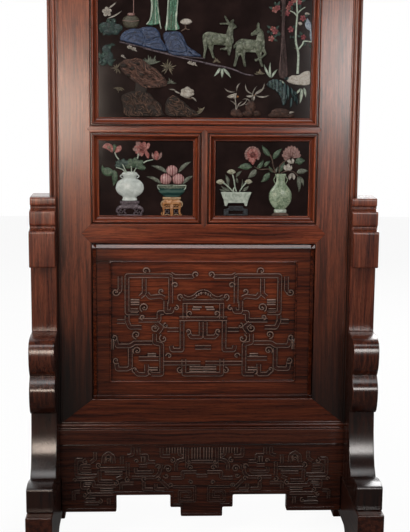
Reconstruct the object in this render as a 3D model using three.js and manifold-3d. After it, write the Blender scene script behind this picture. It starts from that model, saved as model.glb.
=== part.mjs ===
// Chinese hardwood floor screen: a framed screen with hardstone inlay on dark lacquer, dropped into a stand.
// Millimetres, +Z up, the viewer in front at -Y. The origin is on the floor, under the middle of the screen.
import * as THREE from 'three';
import { mergeVertices } from 'three/addons/utils/BufferGeometryUtils.js';
import Module from 'manifold-3d';

const wasm = await Module();
wasm.setup();

// Clearance between neighbouring pieces.
const GAP = 0.3;
// Straight pieces that one round stretch is drawn with.
const ARC_STEPS = 4;

// Framed screen.
const FRAME_WIDTH = 760;
const FRAME_THICKNESS = 50;
const STILE_WIDTH = 102;
const RAIL_HEIGHT = 81;
const CARVED_OPENING_HEIGHT = 398.5;
const LOWER_DIVIDER_HEIGHT = 49.5;
const SMALL_OPENING_HEIGHT = 224;
const UPPER_DIVIDER_HEIGHT = 17.5;
const LARGE_OPENING_HEIGHT = 822;
const MUNTIN_WIDTH = 16.5;

// Shape of the frame members: a beaded band along the outer edge, rounded openings, board grooves.
const BEAD_RADIUS = 3;
const BEAD_BAND_WIDTH = 25;
const BEAD_BAND_DROP = 3;
const EDGE_ROUND = 3;
const BOARD_SETBACK = 14;
const BOARD_THICKNESS = 8;
const GROOVE_DEPTH = 5;
const BACK_BOARD_THICKNESS = 6;
const BACK_BOARD_SETBACK = 1.7;

// Joinery: tenons behind the boards' grooves, and pointed shoulders in front of them.
const TENON_SETBACK = 26;
const TENON_THICKNESS = 12;
const CORNER_TENON_HEIGHT = 30;
const CORNER_TENON_LENGTH = 70;
const DIVIDER_TENON_LENGTH = 40;
const MUNTIN_TENON_LENGTH = 6;
const SHOULDER_DEPTH = 11;

// Loose mouldings round the lacquer boards.
const MOULDING_WIDTH = 19.5;
const MOULDING_GROOVE = 2.7;
const MOULDING_GROOVE_DEPTH = 7;
const MOULDING_RIDGE = 3;
const MOULDING_RIDGE_DROP = 1;
const MOULDING_BEAD = 1.5;
const MOULDING_BEAD_HEIGHT = 1;
const MOULDING_HOLLOW = 2;

// Carved panel: a raised field with a bevelled edge, and a sunk ground inside a thin bead.
const FIELD_MARGIN = 3;
const FIELD_BEVEL = 8;
const FIELD_BEAD_INSET = 43;
const FIELD_BEAD_WIDTH = 4;
const FIELD_BEAD_RISE = 1.5;
const CARVED_GROUND_DEPTH = 5;

// Stand.
const FOOT_LENGTH = 550;
const FOOT_HEIGHT = 160;
const FOOT_THICKNESS = 63.5;
const FOOT_ROUND = 4;
const FOOT_ARCH_LENGTH = 224;
const FOOT_ARCH_HEIGHT = 50;
const FOOT_CUSP_LENGTH = 22;
const FOOT_CUSP_HEIGHT = 30;
const FOOT_ARCH_CURVE = 36;
const BRACKET_OVERLAP = 17;
const POST_TENON_LENGTH = 45;
const POST_TENON_WIDTH = 26;
const POST_TENON_ROOT = 1;
const STAND_RAIL_UNDERSIDE = 253.7;
const STAND_RAIL_HEIGHT = 41.3;
const STAND_RAIL_SETBACK = 2;
const STAND_RAIL_TENON_LENGTH = 25;
const STAND_RAIL_TENON_HEIGHT = 22;

// Apron: its front face lies behind the frame's, and its lower edge steps down twice towards the middle.
const APRON_SETBACK = 10;
const APRON_THICKNESS = 30;
const APRON_ROUND = 4;
const APRON_DROP_HALF_WIDTH = 54;
const APRON_DROP_UNDERSIDE = 56;
const APRON_SHOULDER_HALF_WIDTH = 81;
const APRON_SHOULDER_UNDERSIDE = 81;
const APRON_OPENING_HALF_WIDTH = 220.5;
const APRON_OPENING_UNDERSIDE = 114.5;
const APRON_END_UNDERSIDE = 69.5;

// Side outline of a bracket: reaches are measured forwards from the frame's face, heights downwards.
const BRACKET_TOP_ROUND = 5;
const TIER_NOTCH = 7;
const TIERS = [
  { reach: 20, height: 21, notch: 10 },
  { reach: 40, height: 36, notch: 11 },
  { reach: 61, height: 90, notch: 0 },
];
const RECESS_REACH = 25;
const RECESS_HEIGHT = 166;
const LOBE_REACH = 117;
const LOBE_HEIGHT = 96;
const CREASE_REACH = 95;
const CREASE_SOFTNESS = 8;
const NECK_REACH = 73;
const NECK_HEIGHT = 154;
const VALLEY_REACH = 126;
const VALLEY_DROP = 10;
const TOE_REACH = 219;
const TOE_HEIGHT = 60;
const TOE_ROUND = 8;

// Hardstone inlay stands proud of the lacquer by one of these.
const FLAT_RELIEF = 4;
const ROUND_RELIEF = 8;
// Flat faces round a whole turn of a turned form.
const TURNED_STEPS = 20;

// Worked out from the sizes above.
const frontY = -FRAME_THICKNESS / 2;
const backY = FRAME_THICKNESS / 2;
const frameHalf = FRAME_WIDTH / 2;
const openingHalf = frameHalf - STILE_WIDTH;
const standRailTop = STAND_RAIL_UNDERSIDE + STAND_RAIL_HEIGHT;
const frameBottom = standRailTop + GAP;
const carvedBottom = frameBottom + RAIL_HEIGHT;
const carvedTop = carvedBottom + CARVED_OPENING_HEIGHT;
const smallBottom = carvedTop + LOWER_DIVIDER_HEIGHT;
const smallTop = smallBottom + SMALL_OPENING_HEIGHT;
const largeBottom = smallTop + UPPER_DIVIDER_HEIGHT;
const largeTop = largeBottom + LARGE_OPENING_HEIGHT;
const frameTop = largeTop + RAIL_HEIGHT;
const boardY = frontY + BOARD_SETBACK;
const footInner = frameHalf - BRACKET_OVERLAP;
const footMiddle = footInner + FOOT_THICKNESS / 2;
const footOuter = footInner + FOOT_THICKNESS;
const tiersHeight = TIERS.reduce((sum, tier) => sum + tier.height + tier.notch, 0);
const bracketFoot = FOOT_HEIGHT + GAP;
const lobesTop = bracketFoot + TOE_HEIGHT + NECK_HEIGHT - TOE_ROUND + 2 * LOBE_HEIGHT;
const bracketTop = lobesTop + RECESS_HEIGHT + tiersHeight;

// Openings of the frame, as left, right, bottom and top.
const largeOpening = { left: -openingHalf, right: openingHalf, bottom: largeBottom, top: largeTop };
const smallLeftOpening = { left: -openingHalf, right: -MUNTIN_WIDTH / 2, bottom: smallBottom, top: smallTop };
const smallRightOpening = { left: MUNTIN_WIDTH / 2, right: openingHalf, bottom: smallBottom, top: smallTop };
const carvedOpening = { left: -openingHalf, right: openingHalf, bottom: carvedBottom, top: carvedTop };

// Colours and polish.
const wood = (color, roughness = 0.42) => ({ color, roughness, metalness: 0 });
const stone = (color, roughness = 0.35) => ({ color, roughness, metalness: 0 });
const FRAME_WOOD = wood('#6b3a26');
const STAND_WOOD = wood('#43231a');
const MOULDING_WOOD = wood('#7a4530');
const LACQUER = wood('#1f1416', 0.25);
const BACK_WOOD = wood('#3a2118', 0.6);

const screen = new THREE.Group();
screen.name = 'inlaid_wooden_screen';

// Adds one piece of the screen.
function add(name, geometry, look) {
  const mesh = new THREE.Mesh(geometry, new THREE.MeshStandardMaterial(look));
  mesh.name = name;
  screen.add(mesh);
}

// A closed mesh as a solid that can be joined and cut.
function toSolid(geometry) {
  const bare = geometry.clone();
  bare.deleteAttribute('normal');
  bare.deleteAttribute('uv');
  const merged = mergeVertices(bare, 1e-4);
  return new wasm.Manifold(new wasm.Mesh({
    numProp: 3,
    vertProperties: merged.attributes.position.array,
    triVerts: new Uint32Array(merged.index.array),
  }));
}

// A solid's triangles, back as a geometry.
function toGeometry(solid) {
  const mesh = solid.getMesh();
  const geometry = new THREE.BufferGeometry();
  geometry.setAttribute('position', new THREE.BufferAttribute(new Float32Array(mesh.vertProperties), 3));
  geometry.setIndex(new THREE.BufferAttribute(new Uint32Array(mesh.triVerts), 1));
  geometry.computeVertexNormals();
  return geometry;
}

const join = (...pieces) => toGeometry(pieces.map(toSolid).reduce((sum, piece) => sum.add(piece)));

function cut(body, ...tools) {
  return toGeometry(tools.map(toSolid).reduce((rest, tool) => rest.subtract(tool), toSolid(body)));
}

// A box between two corners.
function block(left, right, front, back, bottom, top) {
  const geometry = new THREE.BoxGeometry(right - left, back - front, top - bottom);
  return geometry.translate((left + right) / 2, (front + back) / 2, (bottom + top) / 2);
}

// An outline drawn as seen from the front, cut from a board that reaches from front to back.
function frontBoard(outline, front, back) {
  const geometry = new THREE.ExtrudeGeometry(outline, {
    depth: back - front,
    bevelEnabled: false,
    curveSegments: ARC_STEPS,
  });
  return geometry.rotateX(Math.PI / 2).translate(0, back, 0);
}

// An outline drawn as seen from the side, in y and z, cut from a board that reaches from left to right.
function sideBoard(outline, left, right) {
  const geometry = new THREE.ExtrudeGeometry(outline, {
    depth: right - left,
    bevelEnabled: false,
    curveSegments: ARC_STEPS,
  });
  const lengthways = new THREE.Vector3(0, 1, 0);
  const upwards = new THREE.Vector3(0, 0, 1);
  const sideways = new THREE.Vector3(1, 0, 0);
  const turn = new THREE.Matrix4().makeBasis(lengthways, upwards, sideways);
  return geometry.applyMatrix4(turn).translate(left, 0, 0);
}

// A section laid along one side of a frame, its ends mitred by the slope. In the section, x runs inwards from
// the frame's outer edge and y forwards from its front face.
function framingBar(section, length, slope, inward, outerMiddle) {
  const geometry = new THREE.ExtrudeGeometry(section, {
    depth: 1,
    bevelEnabled: false,
    curveSegments: ARC_STEPS,
  });
  const spots = geometry.attributes.position;
  for (let i = 0; i < spots.count; i += 1) {
    const end = Math.sign(spots.getZ(i) - 0.5);
    spots.setZ(i, end * (length / 2 - spots.getX(i) * slope - GAP));
  }
  const forward = new THREE.Vector3(0, -1, 0);
  const along = new THREE.Vector3().crossVectors(inward, forward);
  return geometry.applyMatrix4(new THREE.Matrix4().makeBasis(inward, forward, along).setPosition(outerMiddle));
}

const INWARD = {
  left: new THREE.Vector3(1, 0, 0),
  right: new THREE.Vector3(-1, 0, 0),
  bottom: new THREE.Vector3(0, 0, 1),
  top: new THREE.Vector3(0, 0, -1),
};

// The edge of a frame member along an opening, from its back to its front: a rebate for the back board, a
// groove for the front board, and a rounded arris. The opening lies on the side that towards points to, 1 or -1.
function openingEdge(section, edge, towards) {
  const inner = edge - towards * GROOVE_DEPTH;
  const rebateV = -(FRAME_THICKNESS - BACK_BOARD_SETBACK - BACK_BOARD_THICKNESS - GAP);
  section.lineTo(inner, -FRAME_THICKNESS);
  section.lineTo(inner, rebateV);
  section.lineTo(edge, rebateV);
  section.lineTo(edge, -(BOARD_SETBACK + BOARD_THICKNESS + GAP));
  section.lineTo(inner, -(BOARD_SETBACK + BOARD_THICKNESS + GAP));
  section.lineTo(inner, -(BOARD_SETBACK - GAP));
  section.lineTo(edge, -(BOARD_SETBACK - GAP));
  section.lineTo(edge, -EDGE_ROUND);
  section.quadraticCurveTo(edge, 0, edge - towards * EDGE_ROUND, 0);
}

// Section of a stile or of the top and bottom rails: two beads with a hollow swell between them.
function frameSection(width, scale) {
  const section = new THREE.Shape();
  const bead = BEAD_RADIUS * scale;
  const band = BEAD_BAND_WIDTH * scale;
  section.moveTo(0, -FRAME_THICKNESS);
  openingEdge(section, width, 1);
  section.lineTo(band, 0);
  section.lineTo(band, -BEAD_BAND_DROP);
  section.bezierCurveTo(band, 0, band - 2 * bead, 0, band - 2 * bead, -BEAD_BAND_DROP);
  section.bezierCurveTo(band - 3 * bead, 0, 3 * bead, 0, 2 * bead, -BEAD_BAND_DROP);
  section.bezierCurveTo(2 * bead, 0, 0, 0, 0, -BEAD_BAND_DROP);
  section.lineTo(0, -FRAME_THICKNESS);
  return section;
}

// Section of a divider or muntin, with an opening on each side.
function dividerSection(width) {
  const section = new THREE.Shape();
  section.moveTo(GROOVE_DEPTH, -FRAME_THICKNESS);
  openingEdge(section, width, 1);
  const mirrored = new THREE.Shape();
  mirrored.moveTo(width - GROOVE_DEPTH, -FRAME_THICKNESS);
  openingEdge(mirrored, 0, -1);
  const farSide = mirrored.getPoints(ARC_STEPS).slice(1).reverse();
  for (const spot of farSide) section.lineTo(spot.x, spot.y);
  return section;
}

// A tenon or, grown by the gap, its mortise, centred on a line along x or z.
function tenonAlongX(fromX, toX, z, height, grow = 0) {
  const front = frontY + TENON_SETBACK;
  const [left, right] = fromX < toX ? [fromX, toX] : [toX, fromX];
  return block(left - grow, right + grow, front - grow, front + TENON_THICKNESS + grow,
    z - height / 2 - grow, z + height / 2 + grow);
}

function tenonAlongZ(x, width, fromZ, toZ, grow = 0) {
  const front = frontY + TENON_SETBACK;
  const [bottom, top] = fromZ < toZ ? [fromZ, toZ] : [toZ, fromZ];
  return block(x - width / 2 - grow, x + width / 2 + grow, front - grow, front + TENON_THICKNESS + grow,
    bottom - grow, top + grow);
}

// The pointed shoulder at the end of a divider, in the front of the wood only. The middle of the shoulder line
// is at x and z, and reach points into the neighbour.
function shoulderPoint(x, z, reach, halfWidth, grow = 0) {
  const across = { x: -reach.z, z: reach.x };
  const half = halfWidth + grow;
  const root = 2 * GAP;
  const corner = (side, out) => [x + across.x * side + reach.x * out, z + across.z * side + reach.z * out];
  const outline = new THREE.Shape();
  outline.moveTo(...corner(-half, -root));
  outline.lineTo(...corner(-half, grow));
  outline.lineTo(...corner(0, half + grow));
  outline.lineTo(...corner(half, grow));
  outline.lineTo(...corner(half, -root));
  return frontBoard(outline, frontY - grow, frontY + SHOULDER_DEPTH + grow);
}

const LEFT = { x: -1, z: 0 };
const RIGHT = { x: 1, z: 0 };
const UP = { x: 0, z: 1 };
const DOWN = { x: 0, z: -1 };

// Main frame: mitred stiles and rails, with the rails' tenons in the stiles.
const frameHeight = frameTop - frameBottom;
const frameMiddle = (frameTop + frameBottom) / 2;
const cornerTenonMiddle = RAIL_HEIGHT / 2;

function cornerTenon(side, z, grow = 0) {
  const tip = side * (openingHalf + CORNER_TENON_LENGTH);
  return tenonAlongX(side * openingHalf, tip, z, CORNER_TENON_HEIGHT, grow);
}

const dividers = [
  { name: 'upper_divider_rail', middle: (smallTop + largeBottom) / 2, height: UPPER_DIVIDER_HEIGHT },
  { name: 'lower_divider_rail', middle: (carvedTop + smallBottom) / 2, height: LOWER_DIVIDER_HEIGHT },
];

function dividerTenon(divider, side, grow = 0) {
  const height = divider.height - 2 * GROOVE_DEPTH;
  const from = side * (openingHalf - 2 * GAP);
  return tenonAlongX(from, side * (openingHalf + DIVIDER_TENON_LENGTH), divider.middle, height, grow);
}

for (const [name, side, edge] of [['stile_left', -1, 'left'], ['stile_right', 1, 'right']]) {
  const bar = framingBar(frameSection(STILE_WIDTH, 1), frameHeight, RAIL_HEIGHT / STILE_WIDTH,
    INWARD[edge], new THREE.Vector3(side * frameHalf, frontY, frameMiddle));
  const mortises = [
    cornerTenon(side, frameBottom + cornerTenonMiddle, GAP),
    cornerTenon(side, frameTop - cornerTenonMiddle, GAP),
  ];
  const reach = side < 0 ? LEFT : RIGHT;
  for (const divider of dividers) {
    mortises.push(dividerTenon(divider, side, GAP));
    mortises.push(shoulderPoint(side * openingHalf, divider.middle, reach, divider.height / 2, GAP));
  }
  add(name, cut(bar, ...mortises), FRAME_WOOD);
}

for (const [name, edge, outerZ, tenonZ] of [
  ['bottom_rail', 'bottom', frameBottom, frameBottom + cornerTenonMiddle],
  ['top_rail', 'top', frameTop, frameTop - cornerTenonMiddle],
]) {
  const section = frameSection(RAIL_HEIGHT, RAIL_HEIGHT / STILE_WIDTH);
  const bar = framingBar(section, FRAME_WIDTH, STILE_WIDTH / RAIL_HEIGHT,
    INWARD[edge], new THREE.Vector3(0, frontY, outerZ));
  add(name, join(bar, cornerTenon(-1, tenonZ), cornerTenon(1, tenonZ)), FRAME_WOOD);
}

// Dividers between the openings. The two horizontal ones carry the muntin.
const openingWidth = 2 * openingHalf;
const muntinTenonWidth = MUNTIN_WIDTH - 2 * GROOVE_DEPTH;

for (const divider of dividers) {
  const bar = framingBar(dividerSection(divider.height), openingWidth, 0, INWARD.bottom,
    new THREE.Vector3(0, frontY, divider.middle - divider.height / 2));
  const ends = [[-1, LEFT], [1, RIGHT]].flatMap(([side, reach]) => [
    dividerTenon(divider, side),
    shoulderPoint(side * openingHalf, divider.middle, reach, divider.height / 2),
  ]);
  const above = divider.name === 'upper_divider_rail';
  const edgeZ = above ? smallTop : smallBottom;
  const tenonEnd = edgeZ + (above ? MUNTIN_TENON_LENGTH : -MUNTIN_TENON_LENGTH);
  const mortise = tenonAlongZ(0, muntinTenonWidth, edgeZ, tenonEnd, GAP);
  const notch = shoulderPoint(0, edgeZ, above ? UP : DOWN, MUNTIN_WIDTH / 2, GAP);
  add(divider.name, cut(join(bar, ...ends), mortise, notch), FRAME_WOOD);
}

const muntinBar = framingBar(dividerSection(MUNTIN_WIDTH), SMALL_OPENING_HEIGHT, 0, INWARD.left,
  new THREE.Vector3(-MUNTIN_WIDTH / 2, frontY, (smallBottom + smallTop) / 2));
add('muntin', join(
  muntinBar,
  tenonAlongZ(0, muntinTenonWidth, smallTop - 2 * GAP, smallTop + MUNTIN_TENON_LENGTH),
  tenonAlongZ(0, muntinTenonWidth, smallBottom + 2 * GAP, smallBottom - MUNTIN_TENON_LENGTH),
  shoulderPoint(0, smallTop, UP, MUNTIN_WIDTH / 2),
  shoulderPoint(0, smallBottom, DOWN, MUNTIN_WIDTH / 2),
), FRAME_WOOD);

// Section of a loose moulding: a foot on the board, a narrow groove, a round ridge, a hollow and a bead.
function mouldingSection() {
  const foot = -(BOARD_SETBACK - GAP);
  const ridgeMiddle = -MOULDING_RIDGE - MOULDING_RIDGE_DROP;
  const ridgeEnd = MOULDING_GROOVE + 2 * MOULDING_RIDGE;
  const beadMiddle = foot + MOULDING_BEAD + MOULDING_BEAD_HEIGHT;
  const section = new THREE.Shape();
  section.moveTo(GAP, foot);
  section.lineTo(MOULDING_WIDTH, foot);
  section.lineTo(MOULDING_WIDTH, beadMiddle);
  section.absarc(MOULDING_WIDTH - MOULDING_BEAD, beadMiddle, MOULDING_BEAD, 0, Math.PI, false);
  section.quadraticCurveTo(ridgeEnd + 1, beadMiddle + MOULDING_HOLLOW, ridgeEnd, ridgeMiddle);
  section.absarc(ridgeEnd - MOULDING_RIDGE, ridgeMiddle, MOULDING_RIDGE, 0, Math.PI, false);
  section.lineTo(MOULDING_GROOVE, -MOULDING_GROOVE_DEPTH);
  section.lineTo(GAP, -MOULDING_GROOVE_DEPTH);
  return section;
}

// Boards, mouldings and back boards of the three lacquered openings.
const boardLap = GROOVE_DEPTH - GAP;
const lappedBoard = (opening, front, thickness) => block(opening.left - boardLap, opening.right + boardLap,
  front, front + thickness, opening.bottom - boardLap, opening.top + boardLap);

function lacquerOpening(label, side, opening) {
  const named = (stem) => [label, stem, side].filter(Boolean).join('_');
  add(named('lacquer_board'), lappedBoard(opening, boardY, BOARD_THICKNESS), LACQUER);
  const backFront = backY - BACK_BOARD_SETBACK - BACK_BOARD_THICKNESS;
  add(named('back_board'), lappedBoard(opening, backFront, BACK_BOARD_THICKNESS), BACK_WOOD);
  const width = opening.right - opening.left;
  const height = opening.top - opening.bottom;
  const middleX = (opening.left + opening.right) / 2;
  const middleZ = (opening.top + opening.bottom) / 2;
  const sides = {
    top: [width, middleX, opening.top],
    bottom: [width, middleX, opening.bottom],
    left: [height, opening.left, middleZ],
    right: [height, opening.right, middleZ],
  };
  for (const [edge, [length, x, z]] of Object.entries(sides)) {
    const bar = framingBar(mouldingSection(), length, 1, INWARD[edge], new THREE.Vector3(x, frontY, z));
    add(`${named('moulding')}_${edge}`, bar, MOULDING_WOOD);
  }
}

lacquerOpening('large', '', largeOpening);
lacquerOpening('small', 'left', smallLeftOpening);
lacquerOpening('small', 'right', smallRightOpening);

// Carved panel: its tongue sits in the grooves, and its field rises to the face of the frame.
function rectangle(left, right, bottom, top) {
  const outline = new THREE.Shape();
  outline.moveTo(left, bottom);
  outline.lineTo(right, bottom);
  outline.lineTo(right, top);
  outline.lineTo(left, top);
  outline.closePath();
  return outline;
}

function inset({ left, right, bottom, top }, distance) {
  return [left + distance, right - distance, bottom + distance, top - distance];
}

function carvedPanel() {
  const tongue = lappedBoard(carvedOpening, boardY, BOARD_THICKNESS);
  const field = new THREE.ExtrudeGeometry(rectangle(...inset(carvedOpening, FIELD_MARGIN + FIELD_BEVEL)), {
    depth: BOARD_SETBACK + BOARD_THICKNESS - 2 * FIELD_BEVEL,
    bevelThickness: FIELD_BEVEL,
    bevelSize: FIELD_BEVEL,
    bevelSegments: 1,
  }).rotateX(Math.PI / 2).translate(0, boardY + BOARD_THICKNESS - FIELD_BEVEL, 0);
  const beadOutline = rectangle(...inset(carvedOpening, FIELD_BEAD_INSET));
  beadOutline.holes.push(rectangle(...inset(carvedOpening, FIELD_BEAD_INSET + FIELD_BEAD_WIDTH)));
  const bead = frontBoard(beadOutline, frontY - FIELD_BEAD_RISE, frontY + 1);
  const ground = rectangle(...inset(carvedOpening, FIELD_BEAD_INSET + FIELD_BEAD_WIDTH));
  const sunk = frontBoard(ground, frontY - 1, frontY + CARVED_GROUND_DEPTH);
  return cut(join(tongue, field, bead), sunk);
}

add('carved_panel', carvedPanel(), FRAME_WOOD);

// Stand: feet with an arched underside, posts, paired brackets, a rail and the apron.
function footOutline() {
  const half = FOOT_LENGTH / 2;
  const arch = FOOT_ARCH_LENGTH / 2;
  const cusp = arch - FOOT_CUSP_LENGTH;
  const crown = cusp - FOOT_ARCH_CURVE;
  const bulge = FOOT_CUSP_LENGTH / 5;
  const outline = new THREE.Shape();
  outline.moveTo(-half, 0);
  outline.lineTo(-arch, 0);
  outline.quadraticCurveTo(bulge - arch, FOOT_CUSP_HEIGHT, -cusp, FOOT_CUSP_HEIGHT);
  outline.quadraticCurveTo(2 * bulge - cusp, FOOT_ARCH_HEIGHT, -crown, FOOT_ARCH_HEIGHT);
  outline.lineTo(crown, FOOT_ARCH_HEIGHT);
  outline.quadraticCurveTo(cusp - 2 * bulge, FOOT_ARCH_HEIGHT, cusp, FOOT_CUSP_HEIGHT);
  outline.quadraticCurveTo(arch - bulge, FOOT_CUSP_HEIGHT, arch, 0);
  outline.lineTo(half, 0);
  outline.lineTo(half, FOOT_HEIGHT - FOOT_ROUND);
  outline.quadraticCurveTo(half, FOOT_HEIGHT, half - FOOT_ROUND, FOOT_HEIGHT);
  outline.lineTo(-half + FOOT_ROUND, FOOT_HEIGHT);
  outline.quadraticCurveTo(-half, FOOT_HEIGHT, -half, FOOT_HEIGHT - FOOT_ROUND);
  return outline;
}

// Side outline of a bracket. The front pair faces -Y (facing -1) and the back pair +Y (facing 1).
function bracketOutline(facing) {
  const at = (reach, z) => [facing * (FRAME_THICKNESS / 2 + reach), z];
  const curve = (outline, ...spots) => outline.bezierCurveTo(...spots.flatMap(([reach, z]) => at(reach, z)));
  const outline = new THREE.Shape();
  const toeTop = bracketFoot + TOE_HEIGHT;
  const valleyZ = toeTop - VALLEY_DROP;
  const creaseZ = lobesTop - LOBE_HEIGHT;
  const neckTop = creaseZ - LOBE_HEIGHT;
  const saddle = TOE_REACH - VALLEY_REACH;
  const throat = VALLEY_REACH - NECK_REACH;
  outline.moveTo(...at(GAP, bracketFoot));
  outline.lineTo(...at(TOE_REACH, bracketFoot));
  outline.lineTo(...at(TOE_REACH, toeTop - TOE_ROUND));
  outline.quadraticCurveTo(...at(TOE_REACH, toeTop), ...at(TOE_REACH - TOE_ROUND, toeTop));
  curve(outline, [TOE_REACH - saddle * 0.3, toeTop + TOE_ROUND],
    [VALLEY_REACH + saddle * 0.26, toeTop + 2], [VALLEY_REACH, valleyZ]);
  curve(outline, [VALLEY_REACH - throat * 0.64, valleyZ + NECK_HEIGHT * 0.13],
    [NECK_REACH + throat * 0.06, (valleyZ + neckTop) / 2], [NECK_REACH, neckTop]);
  outline.lineTo(...at(CREASE_REACH, neckTop + 2));
  curve(outline, [LOBE_REACH - CREASE_SOFTNESS, neckTop + CREASE_SOFTNESS],
    [LOBE_REACH, neckTop + LOBE_HEIGHT * 0.38], [LOBE_REACH, neckTop + LOBE_HEIGHT * 0.6]);
  curve(outline, [LOBE_REACH, creaseZ - LOBE_HEIGHT * 0.2],
    [CREASE_REACH + CREASE_SOFTNESS, creaseZ - CREASE_SOFTNESS], [CREASE_REACH, creaseZ]);
  curve(outline, [CREASE_REACH + CREASE_SOFTNESS, creaseZ + CREASE_SOFTNESS],
    [LOBE_REACH, creaseZ + LOBE_HEIGHT * 0.25], [LOBE_REACH, creaseZ + LOBE_HEIGHT * 0.52]);
  curve(outline, [LOBE_REACH, creaseZ + LOBE_HEIGHT * 0.88],
    [LOBE_REACH - CREASE_SOFTNESS, lobesTop - 2], [NECK_REACH - CREASE_SOFTNESS, lobesTop]);
  outline.lineTo(...at(RECESS_REACH, lobesTop));
  let z = lobesTop + RECESS_HEIGHT;
  outline.lineTo(...at(RECESS_REACH, z));
  for (const [index, tier] of [...TIERS].reverse().entries()) {
    const round = Math.min(BRACKET_TOP_ROUND, tier.reach / 3);
    if (index > 0) {
      outline.lineTo(...at(tier.reach - TIER_NOTCH, z + tier.notch / 2));
      z += tier.notch;
    }
    outline.lineTo(...at(tier.reach - round, z));
    outline.quadraticCurveTo(...at(tier.reach, z), ...at(tier.reach, z + round));
    z += tier.height;
    outline.lineTo(...at(tier.reach, z - round));
    outline.quadraticCurveTo(...at(tier.reach, z), ...at(tier.reach - round, z));
  }
  outline.lineTo(...at(GAP + BRACKET_TOP_ROUND, z));
  outline.quadraticCurveTo(...at(GAP, z), ...at(GAP, z - BRACKET_TOP_ROUND));
  return outline;
}

// The post's tenon in the foot, and the rail's tenon in the post.
function postTenon(side, grow = 0) {
  const middle = side * (frameHalf + footOuter) / 2;
  const half = POST_TENON_WIDTH / 2 + grow;
  const root = bracketFoot + POST_TENON_ROOT;
  return block(middle - half, middle + half, -half, half, FOOT_HEIGHT - POST_TENON_LENGTH - grow, root);
}

function standRailTenon(side, grow = 0) {
  const middle = STAND_RAIL_UNDERSIDE + STAND_RAIL_HEIGHT / 2;
  const half = STAND_RAIL_TENON_HEIGHT / 2 + grow;
  const tip = frameHalf + STAND_RAIL_TENON_LENGTH + grow;
  const ends = [side * (frameHalf - 2 * GAP), side * tip].sort((a, b) => a - b);
  return block(...ends, -TENON_THICKNESS / 2 - grow, TENON_THICKNESS / 2 + grow, middle - half, middle + half);
}

for (const [name, side] of [['left', -1], ['right', 1]]) {
  const middle = side * footMiddle;
  const [left, right] = [middle - FOOT_THICKNESS / 2, middle + FOOT_THICKNESS / 2];
  add(`foot_${name}`, cut(sideBoard(footOutline(), left, right), postTenon(side, GAP)), STAND_WOOD);
  const postEdges = [side * (frameHalf + GAP), side * footOuter].sort((a, b) => a - b);
  const post = block(...postEdges, frontY, backY, bracketFoot, bracketTop);
  add(`post_${name}`, cut(join(post, postTenon(side)), standRailTenon(side, GAP)), STAND_WOOD);
  add(`bracket_front_${name}`, sideBoard(bracketOutline(-1), left, right), STAND_WOOD);
  add(`bracket_back_${name}`, sideBoard(bracketOutline(1), left, right), STAND_WOOD);
}

const standRail = block(-frameHalf, frameHalf, frontY + STAND_RAIL_SETBACK, backY - STAND_RAIL_SETBACK,
  STAND_RAIL_UNDERSIDE, standRailTop);
add('stand_rail', join(standRail, standRailTenon(-1), standRailTenon(1)), STAND_WOOD);

// The apron's outline, from its right ear round to its left ear.
function apronOutline() {
  const top = STAND_RAIL_UNDERSIDE - GAP;
  const earHalf = frameHalf - GAP;
  const endHalf = footInner - GAP;
  const earUnderside = FOOT_HEIGHT + GAP;
  const corners = [
    [earHalf, earUnderside, 0],
    [endHalf, earUnderside, 0],
    [endHalf, APRON_END_UNDERSIDE],
    [APRON_OPENING_HALF_WIDTH, APRON_END_UNDERSIDE],
    [APRON_OPENING_HALF_WIDTH, APRON_OPENING_UNDERSIDE],
    [APRON_SHOULDER_HALF_WIDTH, APRON_OPENING_UNDERSIDE],
    [APRON_SHOULDER_HALF_WIDTH, APRON_SHOULDER_UNDERSIDE],
    [APRON_DROP_HALF_WIDTH, APRON_SHOULDER_UNDERSIDE],
    [APRON_DROP_HALF_WIDTH, APRON_DROP_UNDERSIDE],
  ];
  const mirrored = corners.map(([x, ...rest]) => [-x, ...rest]).reverse();
  return roundedOutline([[earHalf, top], ...corners, ...mirrored, [-earHalf, top]], APRON_ROUND);
}

// A closed outline with rounded corners. A corner with a third number has a radius of its own.
function roundedOutline(corners, radius) {
  const outline = new THREE.Shape();
  corners.forEach(([x, z, ownRadius = radius], index) => {
    const corner = new THREE.Vector2(x, z);
    const before = new THREE.Vector2(...corners.at(index - 1));
    const after = new THREE.Vector2(...corners[(index + 1) % corners.length]);
    const start = before.sub(corner).setLength(ownRadius).add(corner);
    const end = after.sub(corner).setLength(ownRadius).add(corner);
    if (index === 0) outline.moveTo(start.x, start.y);
    else outline.lineTo(start.x, start.y);
    if (ownRadius > 0) outline.quadraticCurveTo(corner.x, corner.y, end.x, end.y);
  });
  outline.closePath();
  return outline;
}

const apronFront = frontY + APRON_SETBACK;
add('apron', frontBoard(apronOutline(), apronFront, apronFront + APRON_THICKNESS), STAND_WOOD);

// Hardstone inlay. Every piece lies on the face of its board, and its picture grows with the board. Places are
// given in hundredths of the board's width between its mouldings: x from its middle, z from the lower moulding.
const inlayBack = boardY - GAP;

function picture(opening) {
  const unit = (opening.right - opening.left - 2 * MOULDING_WIDTH) / 100;
  const middle = (opening.left + opening.right) / 2;
  const floor = opening.bottom + MOULDING_WIDTH;
  return ([x, z, radius = 0]) => [middle + x * unit, floor + z * unit, radius * unit];
}

const onLarge = picture(largeOpening);
const onSmallLeft = picture(smallLeftOpening);
const onSmallRight = picture(smallRightOpening);

// A flat piece of stone with the given outline.
const flatStone = (outline, relief = FLAT_RELIEF) => frontBoard(outline, inlayBack - relief, inlayBack);

// A closed outline through a few places on a smooth line.
function smoothOutline(place, spots) {
  const corners = spots.map(place).map(([x, z]) => new THREE.Vector3(x, z, 0));
  const line = new THREE.CatmullRomCurve3(corners, true, 'centripetal');
  const rim = line.getPoints(spots.length * 3).slice(0, -1);
  return new THREE.Shape(rim.map((spot) => new THREE.Vector2(spot.x, spot.y)));
}

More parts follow.
